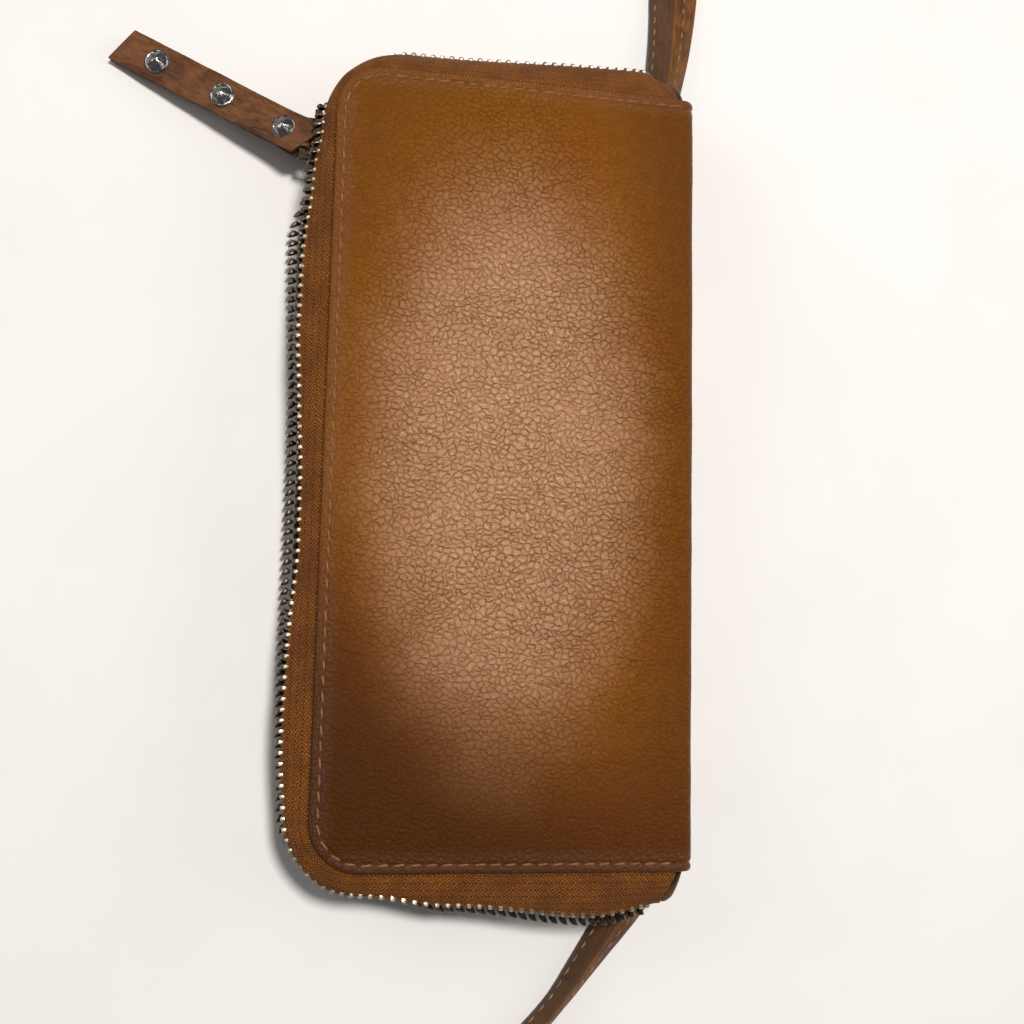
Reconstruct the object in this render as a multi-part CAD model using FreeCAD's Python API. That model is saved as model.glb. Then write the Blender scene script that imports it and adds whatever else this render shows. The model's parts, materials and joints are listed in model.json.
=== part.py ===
"""Zip around wallet in leather, lying on its back cover, with its strap.

Frame: origin at the middle of the back cover's resting face, +X towards the
spine, +Y along the long side, +Z through the thickness to the front cover.
The main zip is drawn open down the long side and along the lower end, and its
slider rests near the upper corner. One STEP file is written per piece.
"""
import FreeCAD, Part
import math
import os

Vector = FreeCAD.Vector
os.makedirs("parts", exist_ok=True)

# ---- driving dimensions, in millimetres ----
COVER_W = 90.0            # across, zip side to spine
COVER_L = 192.0           # along the spine
CORNER_R = 12.0           # zip-side corners of the leather
THICK = 25.0              # outer face to outer face
SPINE_GAP = 2.5           # bare leather fold between a cover and the spine wall

LEATHER_T = 1.3
BOARD_T = 1.0
LINING_T = 0.6
BACKING_T = 0.5
CARD_T = 0.6              # one card pocket panel with its cards out
CARD_PANELS = 4
CARD_STEP = 12.0          # from one pocket mouth to the next

ZIP_OUT_SIDE = 5.4        # how far the tape stands out along the long side
ZIP_OUT_END = 7.6         # and at the two ends
ZIP_CORNER_R = 20.0
ZIP_END_X = 38.0          # where the front tape ends, at the spine
ZIP_BACK_END_X = 26.5     # where the back tape ends, short of the strap
TAPE_T = 0.5
TOOTH_PITCH = 2.45
TOOTH_LEN = 3.6
TOOTH_W = 0.9             # along the tape
TOOTH_T = 1.5

SLIDER_Y = 81.0           # middle of the slider at rest
SLIDER_LEN = 11.0
SLIDER_H = 10.8
SLIDER_PLATE = 1.2

TAB_W = 9.5
TAB_PLY = 1.3
TAB_LEN = 52.5            # from the bail bar to the tip
TAB_SKEW = 27.4           # degrees the tab leans from square to the zip
TAB_DROOP = 12.5          # degrees down to where its tip rests
STUD_R = 3.0
STUD_H = 1.9
STUD_FROM_TIP = (10.5, 29.5, 47.5)

COIN_T = 4.6              # closed coin pocket
COIN_PANEL_T = 0.7
COIN_PITCH = 2.0

STRAP_W = 11.0
STRAP_T = 2.6

# ---- places worked out from them ----
HALF_W = COVER_W / 2
HALF_L = COVER_L / 2
COVER_RIGHT = HALF_W - SPINE_GAP
MID_Z = THICK / 2
STACK = (LEATHER_T, BOARD_T, LINING_T, BACKING_T)
CARD_Z = sum(STACK)       # outer face to the first card panel
COIN_Z0 = MID_Z - COIN_T / 2
COIN_Z1 = MID_Z + COIN_T / 2
BAR_X = -(HALF_W + ZIP_OUT_SIDE / 2 + 5.1)
BAR_Z = MID_Z

# The strap's route: out of the upper anchor, round the zip side, back into the lower one.
STRAP_ROUTE = [
    (41.5, 97.4, 5.4), (44.6, 112.0, 3.4), (46.8, 129.0, 2.0), (47.5, 147.0, 1.6),
    (42.8, 165.2, 1.6), (31.5, 179.8, 1.6), (15.0, 188.6, 1.6), (-3.5, 191.0, 1.6),
    (-32.0, 184.5, 1.6), (-64.0, 173.0, 1.6), (-98.0, 160.5, 1.6), (-127.0, 143.0, 1.6),
    (-143.5, 116.0, 1.6),
    (-147.0, 78.0, 1.6), (-141.5, 31.0, 1.6), (-137.5, -19.0, 1.6), (-136.0, -67.0, 1.6),
    (-137.0, -104.0, 1.6), (-130.0, -134.5, 1.6), (-112.0, -151.5, 1.6), (-80.0, -159.0, 1.6),
    (-38.0, -158.5, 1.6), (-9.0, -151.0, 1.6), (11.5, -135.0, 1.7), (26.0, -118.5, 2.4),
    (35.5, -106.0, 4.0), (40.0, -97.4, 5.4),
]


def save(shape, name):
    """Write one named piece."""
    shape.exportStep("parts/" + name + ".step")
    print(name, "solids", len(shape.Solids), "valid", shape.isValid(), "mm3", round(shape.Volume, 1))


def box(x0, x1, y0, y1, z0, z1):
    return Part.makeBox(x1 - x0, y1 - y0, z1 - z0, Vector(x0, y0, z0))


def rounded_sheet(x0, x1, half_y, corner, z0, z1):
    """Flat layer from x0 to x1 with its two zip-side corners rounded."""
    def at(x, y):
        return Vector(x, y, z0)
    nip = corner * (1 - math.sqrt(0.5))
    edges = [
        Part.LineSegment(at(x0 + corner, half_y), at(x1, half_y)).toShape(),
        Part.LineSegment(at(x1, half_y), at(x1, -half_y)).toShape(),
        Part.LineSegment(at(x1, -half_y), at(x0 + corner, -half_y)).toShape(),
        Part.Arc(at(x0 + corner, -half_y), at(x0 + nip, -half_y + nip),
                 at(x0, -half_y + corner)).toShape(),
        Part.LineSegment(at(x0, -half_y + corner), at(x0, half_y - corner)).toShape(),
        Part.Arc(at(x0, half_y - corner), at(x0 + nip, half_y - nip),
                 at(x0 + corner, half_y)).toShape(),
    ]
    return Part.Face(Part.Wire(edges)).extrude(Vector(0, 0, z1 - z0))


def mirrored(shape):
    """The same piece on the front half, across the wallet's middle plane."""
    return shape.mirror(Vector(0, 0, MID_Z), Vector(0, 0, 1))


def smooth(value):
    value = min(1.0, max(0.0, value))
    return value * value * (3 - 2 * value)


# ---- covers and pockets ----
def cover_layers():
    """Leather, stiffener, lining and pocket backing of one cover, as (name, solid)."""
    z1 = LEATHER_T
    z2 = z1 + BOARD_T
    z3 = z2 + LINING_T
    z4 = z3 + BACKING_T
    return [
        ("cover_leather", rounded_sheet(-HALF_W, COVER_RIGHT, HALF_L, CORNER_R, 0, z1)),
        ("cover_board", rounded_sheet(-HALF_W + 5, COVER_RIGHT, HALF_L - 5, CORNER_R - 4, z1, z2)),
        ("cover_lining", rounded_sheet(-HALF_W + 4, COVER_RIGHT, HALF_L - 4, CORNER_R - 3, z2, z3)),
        ("pocket_backing", rounded_sheet(-HALF_W + 6, 40, HALF_L - 7, CORNER_R - 5, z3, z4)),
    ]


def card_panels():
    """Stepped card pocket panels, each one lying on the one before."""
    panels = []
    for index in range(CARD_PANELS):
        mouth = -HALF_W + 11 + CARD_STEP * index
        low = CARD_Z + CARD_T * index
        panels.append(box(mouth, 40, -HALF_L + 7.5, HALF_L - 7.5, low, low + CARD_T))
    return panels


# ---- main zip ----
TOP_RUN = ZIP_END_X + HALF_W + ZIP_OUT_SIDE - ZIP_CORNER_R
CORNER_RUN = ZIP_CORNER_R * math.pi / 2
SIDE_RUN = 2 * (HALF_L + ZIP_OUT_END - ZIP_CORNER_R)
ZIP_LENGTH = 2 * TOP_RUN + 2 * CORNER_RUN + SIDE_RUN


def edge_points(s):
    """Point on the leather's edge and point on the zip's outer line, s along the zip."""
    upper = s <= ZIP_LENGTH / 2
    run = s if upper else ZIP_LENGTH - s
    side = 1 if upper else -1
    inner_c = (-HALF_W + CORNER_R, HALF_L - CORNER_R)
    outer_c = (-HALF_W - ZIP_OUT_SIDE + ZIP_CORNER_R, HALF_L + ZIP_OUT_END - ZIP_CORNER_R)
    if run < TOP_RUN:
        part = run / TOP_RUN
        inner = (ZIP_END_X + (inner_c[0] - ZIP_END_X) * part, HALF_L)
        outer = (ZIP_END_X + (outer_c[0] - ZIP_END_X) * part, HALF_L + ZIP_OUT_END)
    elif run < TOP_RUN + CORNER_RUN:
        angle = math.pi / 2 + (run - TOP_RUN) / ZIP_CORNER_R
        cos, sin = math.cos(angle), math.sin(angle)
        inner = (inner_c[0] + CORNER_R * cos, inner_c[1] + CORNER_R * sin)
        outer = (outer_c[0] + ZIP_CORNER_R * cos, outer_c[1] + ZIP_CORNER_R * sin)
    else:
        part = 1 - (run - TOP_RUN - CORNER_RUN) / (SIDE_RUN / 2)
        inner = (-HALF_W, inner_c[1] * part)
        outer = (-HALF_W - ZIP_OUT_SIDE, outer_c[1] * part)
    return Vector(inner[0], side * inner[1], 0), Vector(outer[0], side * outer[1], 0)


SLIDER_MOUTH = TOP_RUN + CORNER_RUN + (HALF_L + ZIP_OUT_END - ZIP_CORNER_R) - (SLIDER_Y - SLIDER_LEN / 2)
SPLIT_RUN = 8.0           # the rows part over this length below the slider


def openness(s):
    """0 where the rows are closed, 1 where they lie apart."""
    return smooth((s - SLIDER_MOUTH) / SPLIT_RUN)


PART_RISE = 1.8           # how far each row has drawn back where it passes the slider's post
PART_START = SLIDER_MOUTH - 6.5
PART_RUN = 5.0


def parting(s):
    """How far a row's edge has drawn back at s."""
    return PART_RISE * smooth((s - PART_START) / PART_RUN)


# Tape line as (share of the way out, height over the mid plane): closed along the long
# side, closed along the upper end, and open.
CLOSED_SIDE = ((-0.6, 10.9), (0.08, 10.9), (0.97, 8.1), (0.5, 6.0), (0.5, 2.6))
CLOSED_END = ((-0.6, 10.9), (0.08, 10.9), (0.9, 7.9), (1.3, 4.8), (1.45, 2.6))
OPEN_LINE = ((-0.6, 10.9), (0.08, 10.9), (0.5, 9.9), (0.8, 8.9), (1.0, 7.8))


def tape_line(s):
    """Middle line of the front tape's section at s, as points in space."""
    inner, outer = edge_points(s)
    opened = openness(s)
    from_end = smooth(s / TOP_RUN)
    shut_line = [tuple(e + (f - e) * from_end for e, f in zip(end, flank))
                 for end, flank in zip(CLOSED_END, CLOSED_SIDE)]
    shut_line[-1] = (shut_line[-1][0], shut_line[-1][1] + parting(s))
    points = []
    for shut, wide in zip(shut_line, OPEN_LINE):
        share = shut[0] + (wide[0] - shut[0]) * opened
        height = shut[1] + (wide[1] - shut[1]) * opened
        point = inner + (outer - inner) * share
        points.append(Vector(point.x, point.y, MID_Z + height))
    return points


def section_ring(points):
    """Closed thin outline either side of the tape's middle line."""
    across = (points[1] - points[0]).normalize()
    rise = Vector(0, 0, 1)
    near, far = [], []
    last = len(points) - 1
    for index, point in enumerate(points):
        along = points[min(index + 1, last)] - points[max(index - 1, 0)]
        flat, up = along.dot(across), along.z
        size = math.hypot(flat, up)
        normal = (across * (-up / size) + rise * (flat / size)) * (TAPE_T / 2)
        near.append(point + normal)
        far.append(point - normal)
    ring = near + far[::-1]
    return Part.makePolygon(ring + ring[:1])


def stations(start, end):
    """Where the tape's sections stand: close together round corners and where it parts."""
    marks = {start, end}
    for first, length, count in (
        (TOP_RUN, CORNER_RUN, 8), (PART_START, PART_RUN, 3), (SLIDER_MOUTH, SPLIT_RUN, 5),
        (ZIP_LENGTH - TOP_RUN - CORNER_RUN, CORNER_RUN, 8),
    ):
        for step in range(count + 1):
            marks.add(round(first + length * step / count, 4))
    return sorted(mark for mark in marks if start <= mark <= end)


def front_tape(start, end):
    rings = [section_ring(tape_line(s)) for s in stations(start, end)]
    return Part.makeLoft(rings, True, True)


def tooth_row(start, end, shift, side_lean, end_lean):
    """One row of teeth for the front tape; lean is how far open teeth point outwards."""
    solids = []
    count = int((end - start - shift - TOOTH_W) / TOOTH_PITCH)
    for index in range(count):
        s = start + shift + TOOTH_PITCH * index
        line = tape_line(s)
        ahead = tape_line(s + 0.2)[-1] - line[-1]
        inner, outer = edge_points(s)
        outward = (outer - inner).normalize()
        on_side = abs(s - ZIP_LENGTH / 2) < SIDE_RUN / 2 + CORNER_RUN / 2
        lean = (side_lean if on_side else end_lean) * openness(s)
        point_dir = outward * math.sin(lean) - Vector(0, 0, math.cos(lean))
        along = Vector(ahead.x, ahead.y, 0).normalize()
        face_dir = along.cross(point_dir)
        frame = FreeCAD.Matrix(
            along.x, point_dir.x, face_dir.x, line[-1].x,
            along.y, point_dir.y, face_dir.y, line[-1].y,
            along.z, point_dir.z, face_dir.z, line[-1].z)
        tooth = Part.makeBox(TOOTH_W, TOOTH_LEN, TOOTH_T, Vector(-TOOTH_W / 2, 0, -TOOTH_T / 2))
        solids.append(tooth.transformGeometry(frame))
    return Part.makeCompound(solids)


def zip_stops(end):
    """Crimped stop at each end of a row."""
    stops = []
    for s in (end, ZIP_LENGTH - end):
        base = tape_line(s)[-1]
        stops.append(box(base.x - 0.9, base.x + 0.9, base.y - 0.9, base.y + 0.9,
                         base.z - 1.6, base.z + 1.0))
    return Part.makeCompound(stops)


def main_slider():
    """Slider: two plates joined by a post, with lips that hold the tapes' edges."""
    x_mid = -(HALF_W + ZIP_OUT_SIDE / 2)
    y0, y1 = SLIDER_Y - SLIDER_LEN / 2, SLIDER_Y + SLIDER_LEN / 2
    z0, z1 = MID_Z - SLIDER_H / 2, MID_Z + SLIDER_H / 2
    gap = TOOTH_T / 2 + 0.35
    outer = box(x_mid - gap - SLIDER_PLATE, x_mid - gap, y0, y1, z0, z1)
    inner = box(x_mid + gap, x_mid + gap + SLIDER_PLATE, y0, y1, z0, z1)
    body = outer.fuse(inner)
    body = body.fuse(box(x_mid - gap, x_mid + gap, y0 - 0.8, y0 + 1.2, MID_Z - 0.6, MID_Z + 0.6))
    lip = 0.55
    for low in (z0, z1 - 0.8):
        body = body.fuse(box(x_mid - gap, x_mid - gap + lip, y0, y1, low, low + 0.8))
        body = body.fuse(box(x_mid + gap - lip, x_mid + gap, y0, y1, low, low + 0.8))
    return body.removeSplitter()


def slider_bail():
    """Arch on the slider's outer plate that carries the leather pull."""
    plate_x = -(HALF_W + ZIP_OUT_SIDE / 2 + TOOTH_T / 2 + 0.35 + SLIDER_PLATE)
    half = 4.6
    arch = box(BAR_X - 0.7, plate_x, SLIDER_Y - half - 0.7, SLIDER_Y + half + 0.7,
               BAR_Z - 0.7, BAR_Z + 0.7)
    hole = box(BAR_X + 0.7, plate_x, SLIDER_Y - half + 0.7, SLIDER_Y + half - 0.7,
               BAR_Z - 1, BAR_Z + 1)
    return arch.cut(hole)


# ---- pull tab, built along -X from the bail bar and then turned into place ----
def droop(shape):
    """Let a piece hang down about the bail bar to where the tab's tip rests."""
    turned = shape.copy()
    turned.rotate(Vector(BAR_X, SLIDER_Y, BAR_Z), Vector(0, 1, 0), -TAB_DROOP)
    return turned


def place_tab(shape):
    """Lean a piece of the tab in plan, then let it droop."""
    turned = shape.copy()
    turned.rotate(Vector(BAR_X, SLIDER_Y, BAR_Z), Vector(0, 0, 1), -TAB_SKEW)
    return droop(turned)


def tab_strip():
    """Both plies as one flat strip, cut on the slant at its tip."""
    x0 = BAR_X - 3.8
    tip = BAR_X - TAB_LEN
    y0, y1 = SLIDER_Y - TAB_W / 2, SLIDER_Y + TAB_W / 2
    low = BAR_Z - TAB_PLY
    slant = 1.2
    outline = [Vector(x0, y0, low), Vector(x0, y1, low), Vector(tip - slant, y1, low),
               Vector(tip + slant, y0, low), Vector(x0, y0, low)]
    return Part.Face(Part.makePolygon(outline)).extrude(Vector(0, 0, 2 * TAB_PLY))


def tab_fold():
    """The strip's narrow middle, folded round the bail bar."""
    half = 2.8
    start = Vector(BAR_X, SLIDER_Y - half, BAR_Z)
    outer = Part.makeCylinder(2.05, 2 * half, start, Vector(0, 1, 0))
    shank = box(BAR_X - 6.5, BAR_X, SLIDER_Y - half, SLIDER_Y + half, BAR_Z - TAB_PLY, BAR_Z + TAB_PLY)
    bore = Part.makeCylinder(1.2, 2 * half + 2, start - Vector(0, 1, 0), Vector(0, 1, 0))
    return outer.fuse(shank).cut(bore)


def tab_studs():
    """Cone studs on the upper face, each with its post through both plies."""
    studs, backs = [], []
    for distance in STUD_FROM_TIP:
        x = BAR_X - TAB_LEN + distance
        top = Vector(x, SLIDER_Y, BAR_Z + TAB_PLY)
        rim = Part.makeCylinder(STUD_R, 0.5, top)
        cone = Part.makeCone(STUD_R, 0.25, STUD_H - 0.5, top + Vector(0, 0, 0.5))
        studs.append(rim.fuse(cone))
        backs.append(Part.makeCylinder(STUD_R, 0.7, Vector(x, SLIDER_Y, BAR_Z - TAB_PLY - 0.7)))
    return Part.makeCompound(studs), Part.makeCompound(backs)


# ---- coin pocket, a page on the spine ----
COIN_MOUTH_X = -33.0
COIN_HALF_L = 84.0
COIN_SLIDER_Y = 70.0


def coin_pocket():
    """Pocket panels, spacers and the pocket's own zip, as (name, solid)."""
    z0, z1 = COIN_Z0, COIN_Z1
    inner0, inner1 = z0 + COIN_PANEL_T, z1 - COIN_PANEL_T
    half = COIN_HALF_L
    pieces = [
        ("coin_panel_back", box(COIN_MOUTH_X + 3, HALF_W - 2.7, -half, half, z0, inner0)),
        ("coin_panel_front", box(COIN_MOUTH_X + 3, HALF_W - 2.7, -half, half, inner1, z1)),
        ("coin_gusset_upper", box(COIN_MOUTH_X + 6, 36, half - 2.5, half - 1, inner0, inner1)),
        ("coin_gusset_lower", box(COIN_MOUTH_X + 6, 36, 1 - half, 2.5 - half, inner0, inner1)),
        ("coin_spine_strip", box(36, HALF_W - 2.7, -half, half, inner0, inner1)),
        ("coin_tape_back", box(COIN_MOUTH_X, COIN_MOUTH_X + 9, 3 - half, half - 3, inner0, inner0 + 0.4)),
        ("coin_tape_front", box(COIN_MOUTH_X, COIN_MOUTH_X + 9, 3 - half, half - 3, inner1 - 0.4, inner1)),
    ]
    rows = {"back": [], "front": []}
    count = int((2 * half - 10) / COIN_PITCH)
    for index in range(count):
        y = -half + 5 + COIN_PITCH * index
        rows["back"].append(box(COIN_MOUTH_X - 1.3, COIN_MOUTH_X, y, y + 0.9, inner0 + 0.2, MID_Z + 0.5))
        y += COIN_PITCH / 2
        rows["front"].append(box(COIN_MOUTH_X - 1.3, COIN_MOUTH_X, y, y + 0.9, MID_Z - 0.5, inner1 - 0.2))
    pieces.append(("coin_teeth_back", Part.makeCompound(rows["back"])))
    pieces.append(("coin_teeth_front", Part.makeCompound(rows["front"])))
    stops = [box(COIN_MOUTH_X - 1.6, COIN_MOUTH_X, sign * (half - 3.6) - 0.9, sign * (half - 3.6) + 0.9,
                 inner0, inner1) for sign in (-1, 1)]
    pieces.append(("coin_zip_stops", Part.makeCompound(stops)))
    return pieces


def coin_slider():
    """Small slider that clips over the pocket's chain, and its bail."""
    x = COIN_MOUTH_X - 1.3
    y0, y1 = COIN_SLIDER_Y - 4, COIN_SLIDER_Y + 4
    body = box(x - 1.3, x + 1.0, y0, y1, COIN_Z0, COIN_Z1)
    body = body.cut(box(x - 0.3, x + 3, y0 - 1, y1 + 1, COIN_Z0 + 0.6, COIN_Z1 - 0.6))
    arch = box(x - 3.3, x - 1.3, COIN_SLIDER_Y - 2.6, COIN_SLIDER_Y + 2.6, MID_Z - 0.5, MID_Z + 0.5)
    hole = box(x - 2.4, x - 1.3, COIN_SLIDER_Y - 1.7, COIN_SLIDER_Y + 1.7, MID_Z - 1, MID_Z + 1)
    return body, arch.cut(hole)


def coin_pull():
    """Flat metal pull whose forked end holds a pin through the coin slider's bail."""
    x_pin = COIN_MOUTH_X - 1.3 - 1.85
    y_pin = COIN_SLIDER_Y - 0.9
    x0, x1 = x_pin - 2.4, x_pin - 1.75
    plate = box(x0, x1, y_pin - 13, y_pin + 1.0, MID_Z - 2.1, MID_Z + 2.1)
    slot = box(x0 - 1, x1 + 1, y_pin - 11, y_pin - 4, MID_Z - 1.0, MID_Z + 1.0)
    fork = box(x0 - 1, x1 + 1, y_pin - 2, y_pin + 2, MID_Z - 0.9, MID_Z + 0.9)
    pull = plate.cut(slot).cut(fork)
    for low in (MID_Z - 1.4, MID_Z + 0.9):
        pull = pull.fuse(box(x1, x_pin + 0.25, y_pin - 0.45, y_pin + 0.45, low, low + 0.5))
    pin = Part.makeCylinder(0.35, 2.2, Vector(x_pin, y_pin, MID_Z - 1.1))
    return pull.fuse(pin).removeSplitter()


# ---- spine ----
def spine_layers():
    z0, z1 = SPINE_GAP, THICK - SPINE_GAP
    x = HALF_W
    return [
        ("spine_leather", box(x - LEATHER_T, x, -HALF_L, HALF_L, z0, z1)),
        ("spine_board", box(x - LEATHER_T - 0.8, x - LEATHER_T, 5 - HALF_L, HALF_L - 5, z0 + 1, z1 - 1)),
        ("spine_lining", box(x - LEATHER_T - 1.4, x - LEATHER_T - 0.8, 5 - HALF_L, HALF_L - 5,
                             z0 + 0.5, z1 - 0.5)),
    ]


def zip_end_tab(sign):
    """Folded leather patch that covers the zip's end beside the spine."""
    y0, y1 = HALF_L + 0.2, HALF_L + 3.6
    patch = box(ZIP_END_X + 0.5, HALF_W - 0.6, y0, y1, MID_Z - 4.5, MID_Z + 6.5)
    root = box(HALF_W - LEATHER_T, HALF_W - 0.6, HALF_L - 3, y0, MID_Z - 4.5, MID_Z + 6.5)
    patch = patch.fuse(root.cut(box(0, HALF_W, -HALF_L, HALF_L, 0, THICK))).removeSplitter()
    if sign < 0:
        patch = patch.mirror(Vector(0, 0, 0), Vector(0, 1, 0))
    return patch


# ---- strap ----
def strap_corners():
    """Arc at each inner point of the route: centre tangent length, points and radius."""
    route = [Vector(*point) for point in STRAP_ROUTE]
    corners = []
    for before, point, after in zip(route, route[1:], route[2:]):
        back, ahead = before - point, after - point
        half_turn = (math.pi - back.getAngle(ahead)) / 2
        tangent = 0.45 * min(back.Length, ahead.Length)
        radius = tangent / math.tan(half_turn)
        start = point + back.normalize() * tangent
        end = point + ahead.normalize() * tangent
        middle_dir = ((start - point) + (end - point)).normalize()
        middle = point + middle_dir * (radius / math.cos(half_turn) - radius)
        corners.append((start, middle, end, radius))
    return route, corners


def strap_body():
    """Flat strap swept along straight runs and tangent arcs."""
    route, corners = strap_corners()
    edges = []
    here = route[0]
    for start, middle, end, radius in corners:
        edges.append(Part.LineSegment(here, start).toShape())
        edges.append(Part.Arc(start, middle, end).toShape())
        here = end
    edges.append(Part.LineSegment(here, route[-1]).toShape())
    path = Part.Wire(edges)
    first = (route[1] - route[0]).normalize()
    across = first.cross(Vector(0, 0, 1)).normalize()
    up = across.cross(first).normalize()
    half_w, half_t = across * (STRAP_W / 2), up * (STRAP_T / 2)
    corners_of_section = [route[0] - half_w - half_t, route[0] + half_w - half_t,
                          route[0] + half_w + half_t, route[0] - half_w + half_t]
    section = Part.makePolygon(corners_of_section + corners_of_section[:1])
    sweep = Part.BRepOffsetAPI.MakePipeShell(path)
    sweep.setBiNormalMode(Vector(0, 0, 1))
    sweep.add(section)
    sweep.build()
    sweep.makeSolid()
    solid = sweep.shape()
    print("strap length", round(path.Length, 1), "volume over section",
          round(solid.Volume / (STRAP_W * STRAP_T), 1))
    print("strap radii", [round(corner[3], 1) for corner in corners])
    return solid


def strap_anchor(sign, x_mid):
    """Leather tongue sewn on the back lining, which the strap's end comes out of."""
    low, high = LEATHER_T + BOARD_T + LINING_T, 7.4
    tongue = box(x_mid - 6.5, min(x_mid + 6.5, COVER_RIGHT - 0.5), HALF_L - 6.5, HALF_L + 1.4, low, high)
    if sign < 0:
        tongue = tongue.mirror(Vector(0, 0, 0), Vector(0, 1, 0))
    return tongue


def main():
    for name, solid in cover_layers():
        save(solid, "back_" + name)
        save(mirrored(solid), "front_" + name)
    for index, panel in enumerate(card_panels(), start=1):
        save(panel, "back_card_panel_%d" % index)
        save(mirrored(panel), "front_card_panel_%d" % index)

    inset = ZIP_END_X - ZIP_BACK_END_X
    save(front_tape(0, ZIP_LENGTH), "zip_tape_front")
    save(mirrored(front_tape(inset, ZIP_LENGTH - inset)), "zip_tape_back")
    save(tooth_row(0.0, ZIP_LENGTH, 3.0, math.radians(25), math.radians(60)), "zip_teeth_front")
    back_row = tooth_row(inset, ZIP_LENGTH - inset, 3.0 - inset % TOOTH_PITCH + TOOTH_PITCH / 2,
                         math.radians(88), math.radians(80))
    save(mirrored(back_row), "zip_teeth_back")
    save(zip_stops(1.1), "zip_stops_front")
    save(mirrored(zip_stops(inset + 1.1)), "zip_stops_back")
    save(main_slider(), "slider_body")
    save(slider_bail(), "slider_bail")

    save(place_tab(tab_strip()).fuse(droop(tab_fold())).removeSplitter(), "pull_leather")
    studs, backs = tab_studs()
    save(place_tab(studs), "pull_studs")
    save(place_tab(backs), "pull_stud_backs")

    for name, solid in spine_layers() + coin_pocket():
        save(solid, name)
    body, bail = coin_slider()
    save(body, "coin_slider_body")
    save(bail, "coin_slider_bail")
    save(coin_pull(), "coin_pull")
    save(zip_end_tab(1), "zip_end_tab_upper")
    save(zip_end_tab(-1), "zip_end_tab_lower")

    save(strap_anchor(1, STRAP_ROUTE[0][0] - 3), "strap_anchor_upper")
    save(strap_anchor(-1, STRAP_ROUTE[-1][0] - 3), "strap_anchor_lower")
    save(strap_body(), "strap")


main()
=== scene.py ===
"""Zip around wallet in tanned leather: its looks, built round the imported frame.

The frame is in metres. Shapes here are worked out in millimetres and scaled when
their mesh is made. +X is towards the spine, +Y along it, +Z up to the front cover.
"""
import json
import math
import random

import bpy
import numpy as np
from mathutils import Matrix, Vector, noise


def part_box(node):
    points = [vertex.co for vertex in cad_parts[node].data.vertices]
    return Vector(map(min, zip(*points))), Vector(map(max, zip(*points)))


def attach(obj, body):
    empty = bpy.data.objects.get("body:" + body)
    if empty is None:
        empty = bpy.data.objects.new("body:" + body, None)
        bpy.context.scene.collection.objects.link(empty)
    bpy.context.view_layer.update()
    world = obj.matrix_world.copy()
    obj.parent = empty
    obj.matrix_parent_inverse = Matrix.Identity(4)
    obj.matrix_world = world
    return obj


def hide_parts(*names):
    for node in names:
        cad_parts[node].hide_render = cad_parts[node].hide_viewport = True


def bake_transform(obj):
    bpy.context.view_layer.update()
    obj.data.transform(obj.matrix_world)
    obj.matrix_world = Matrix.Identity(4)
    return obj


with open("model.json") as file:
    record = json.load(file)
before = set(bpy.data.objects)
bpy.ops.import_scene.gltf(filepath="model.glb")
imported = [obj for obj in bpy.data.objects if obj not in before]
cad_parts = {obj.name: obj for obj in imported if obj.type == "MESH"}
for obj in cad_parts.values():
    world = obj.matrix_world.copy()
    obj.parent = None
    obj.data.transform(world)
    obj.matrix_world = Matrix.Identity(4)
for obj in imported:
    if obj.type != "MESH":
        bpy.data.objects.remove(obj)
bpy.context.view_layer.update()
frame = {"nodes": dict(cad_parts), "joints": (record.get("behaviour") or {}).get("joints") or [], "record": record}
MM = 0.001
rng = random.Random(7)


def box_mm(node):
    low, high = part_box(node)
    return low / MM, high / MM


# ---- sizes taken from the frame, in millimetres ----
COVER_LO, COVER_HI = box_mm("front_cover_leather")
LEFT, HALF_L, TOP = COVER_LO.x, COVER_HI.y, COVER_HI.z
MID = TOP / 2
SPINE_X = box_mm("spine_leather")[1].x
SKIN = TOP - COVER_LO.z                  # leather thickness
TAPE_END_X = box_mm("zip_tape_front")[1].x
BACK_INSET = TAPE_END_X - box_mm("zip_tape_back")[1].x
SLIDER_END_Y = box_mm("slider_body")[0].y
JOINTS = {joint["name"]: joint for joint in frame["joints"]}
BAR = Vector(JOINTS["pull_flap"]["pos_m"]) / MM

# ---- the zip's driving sizes, as in the frame ----
CORNER_R = 12.0
ZIP_OUT_SIDE = 5.4
ZIP_OUT_END = 7.6
ZIP_CORNER_R = 20.0
TOOTH_PITCH = 2.45

# ---- covers: turned edge, stitching and spine ----
EDGE_ROLL = 0.9          # width of the rounding at the edge
EDGE_DROP = 0.62         # how far the rounding falls
EDGE_STEPS = [0, 0.12, 0.3, 0.55, 0.85, 1.15, 1.45, 1.75, 2.05, 2.4, 2.8, 3.4, 4.2]
GROOVE_DEPTH = 0.26
CROWN = 0.75             # padding under the middle of the cover
STITCH_IN = 2.0
STITCH_PITCH = 3.7
STITCH_LONG = 2.9
STITCH_TILT = math.radians(7)
THREAD_R = 0.23
SPINE_BEND = 3.2         # radius of the leather's bend at the spine
SPINE_PROUD = 0.6        # how far the leather bulges past the spine's CAD face
WALL_X = SPINE_X + SPINE_PROUD
BEND_X = WALL_X - SPINE_BEND

# ---- covers: painted shade, painted highlight and grain, as (from the spine's middle, along it) and repeats per millimetre ----
RIM_CENTRE, RIM_REACH = (56.0, 6.0), (50, 104)
HIGHLIGHT_CENTRE, HIGHLIGHT_REACH = (58.0, 3.0), (38, 78)
PEBBLES, DIMPLES, CREASES, PORES = 0.70, 1.5, 0.26, 2.4
PEBBLE_TURN, CREASE_TURN = math.radians(-30), math.radians(-24)
GRAIN_DEPTH = 0.62

# ---- tape weave ----
WEAVE_LANE = 1.75
WEAVE_PITCH = 0.86
WEAVE_CROSS = 1.25

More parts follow.
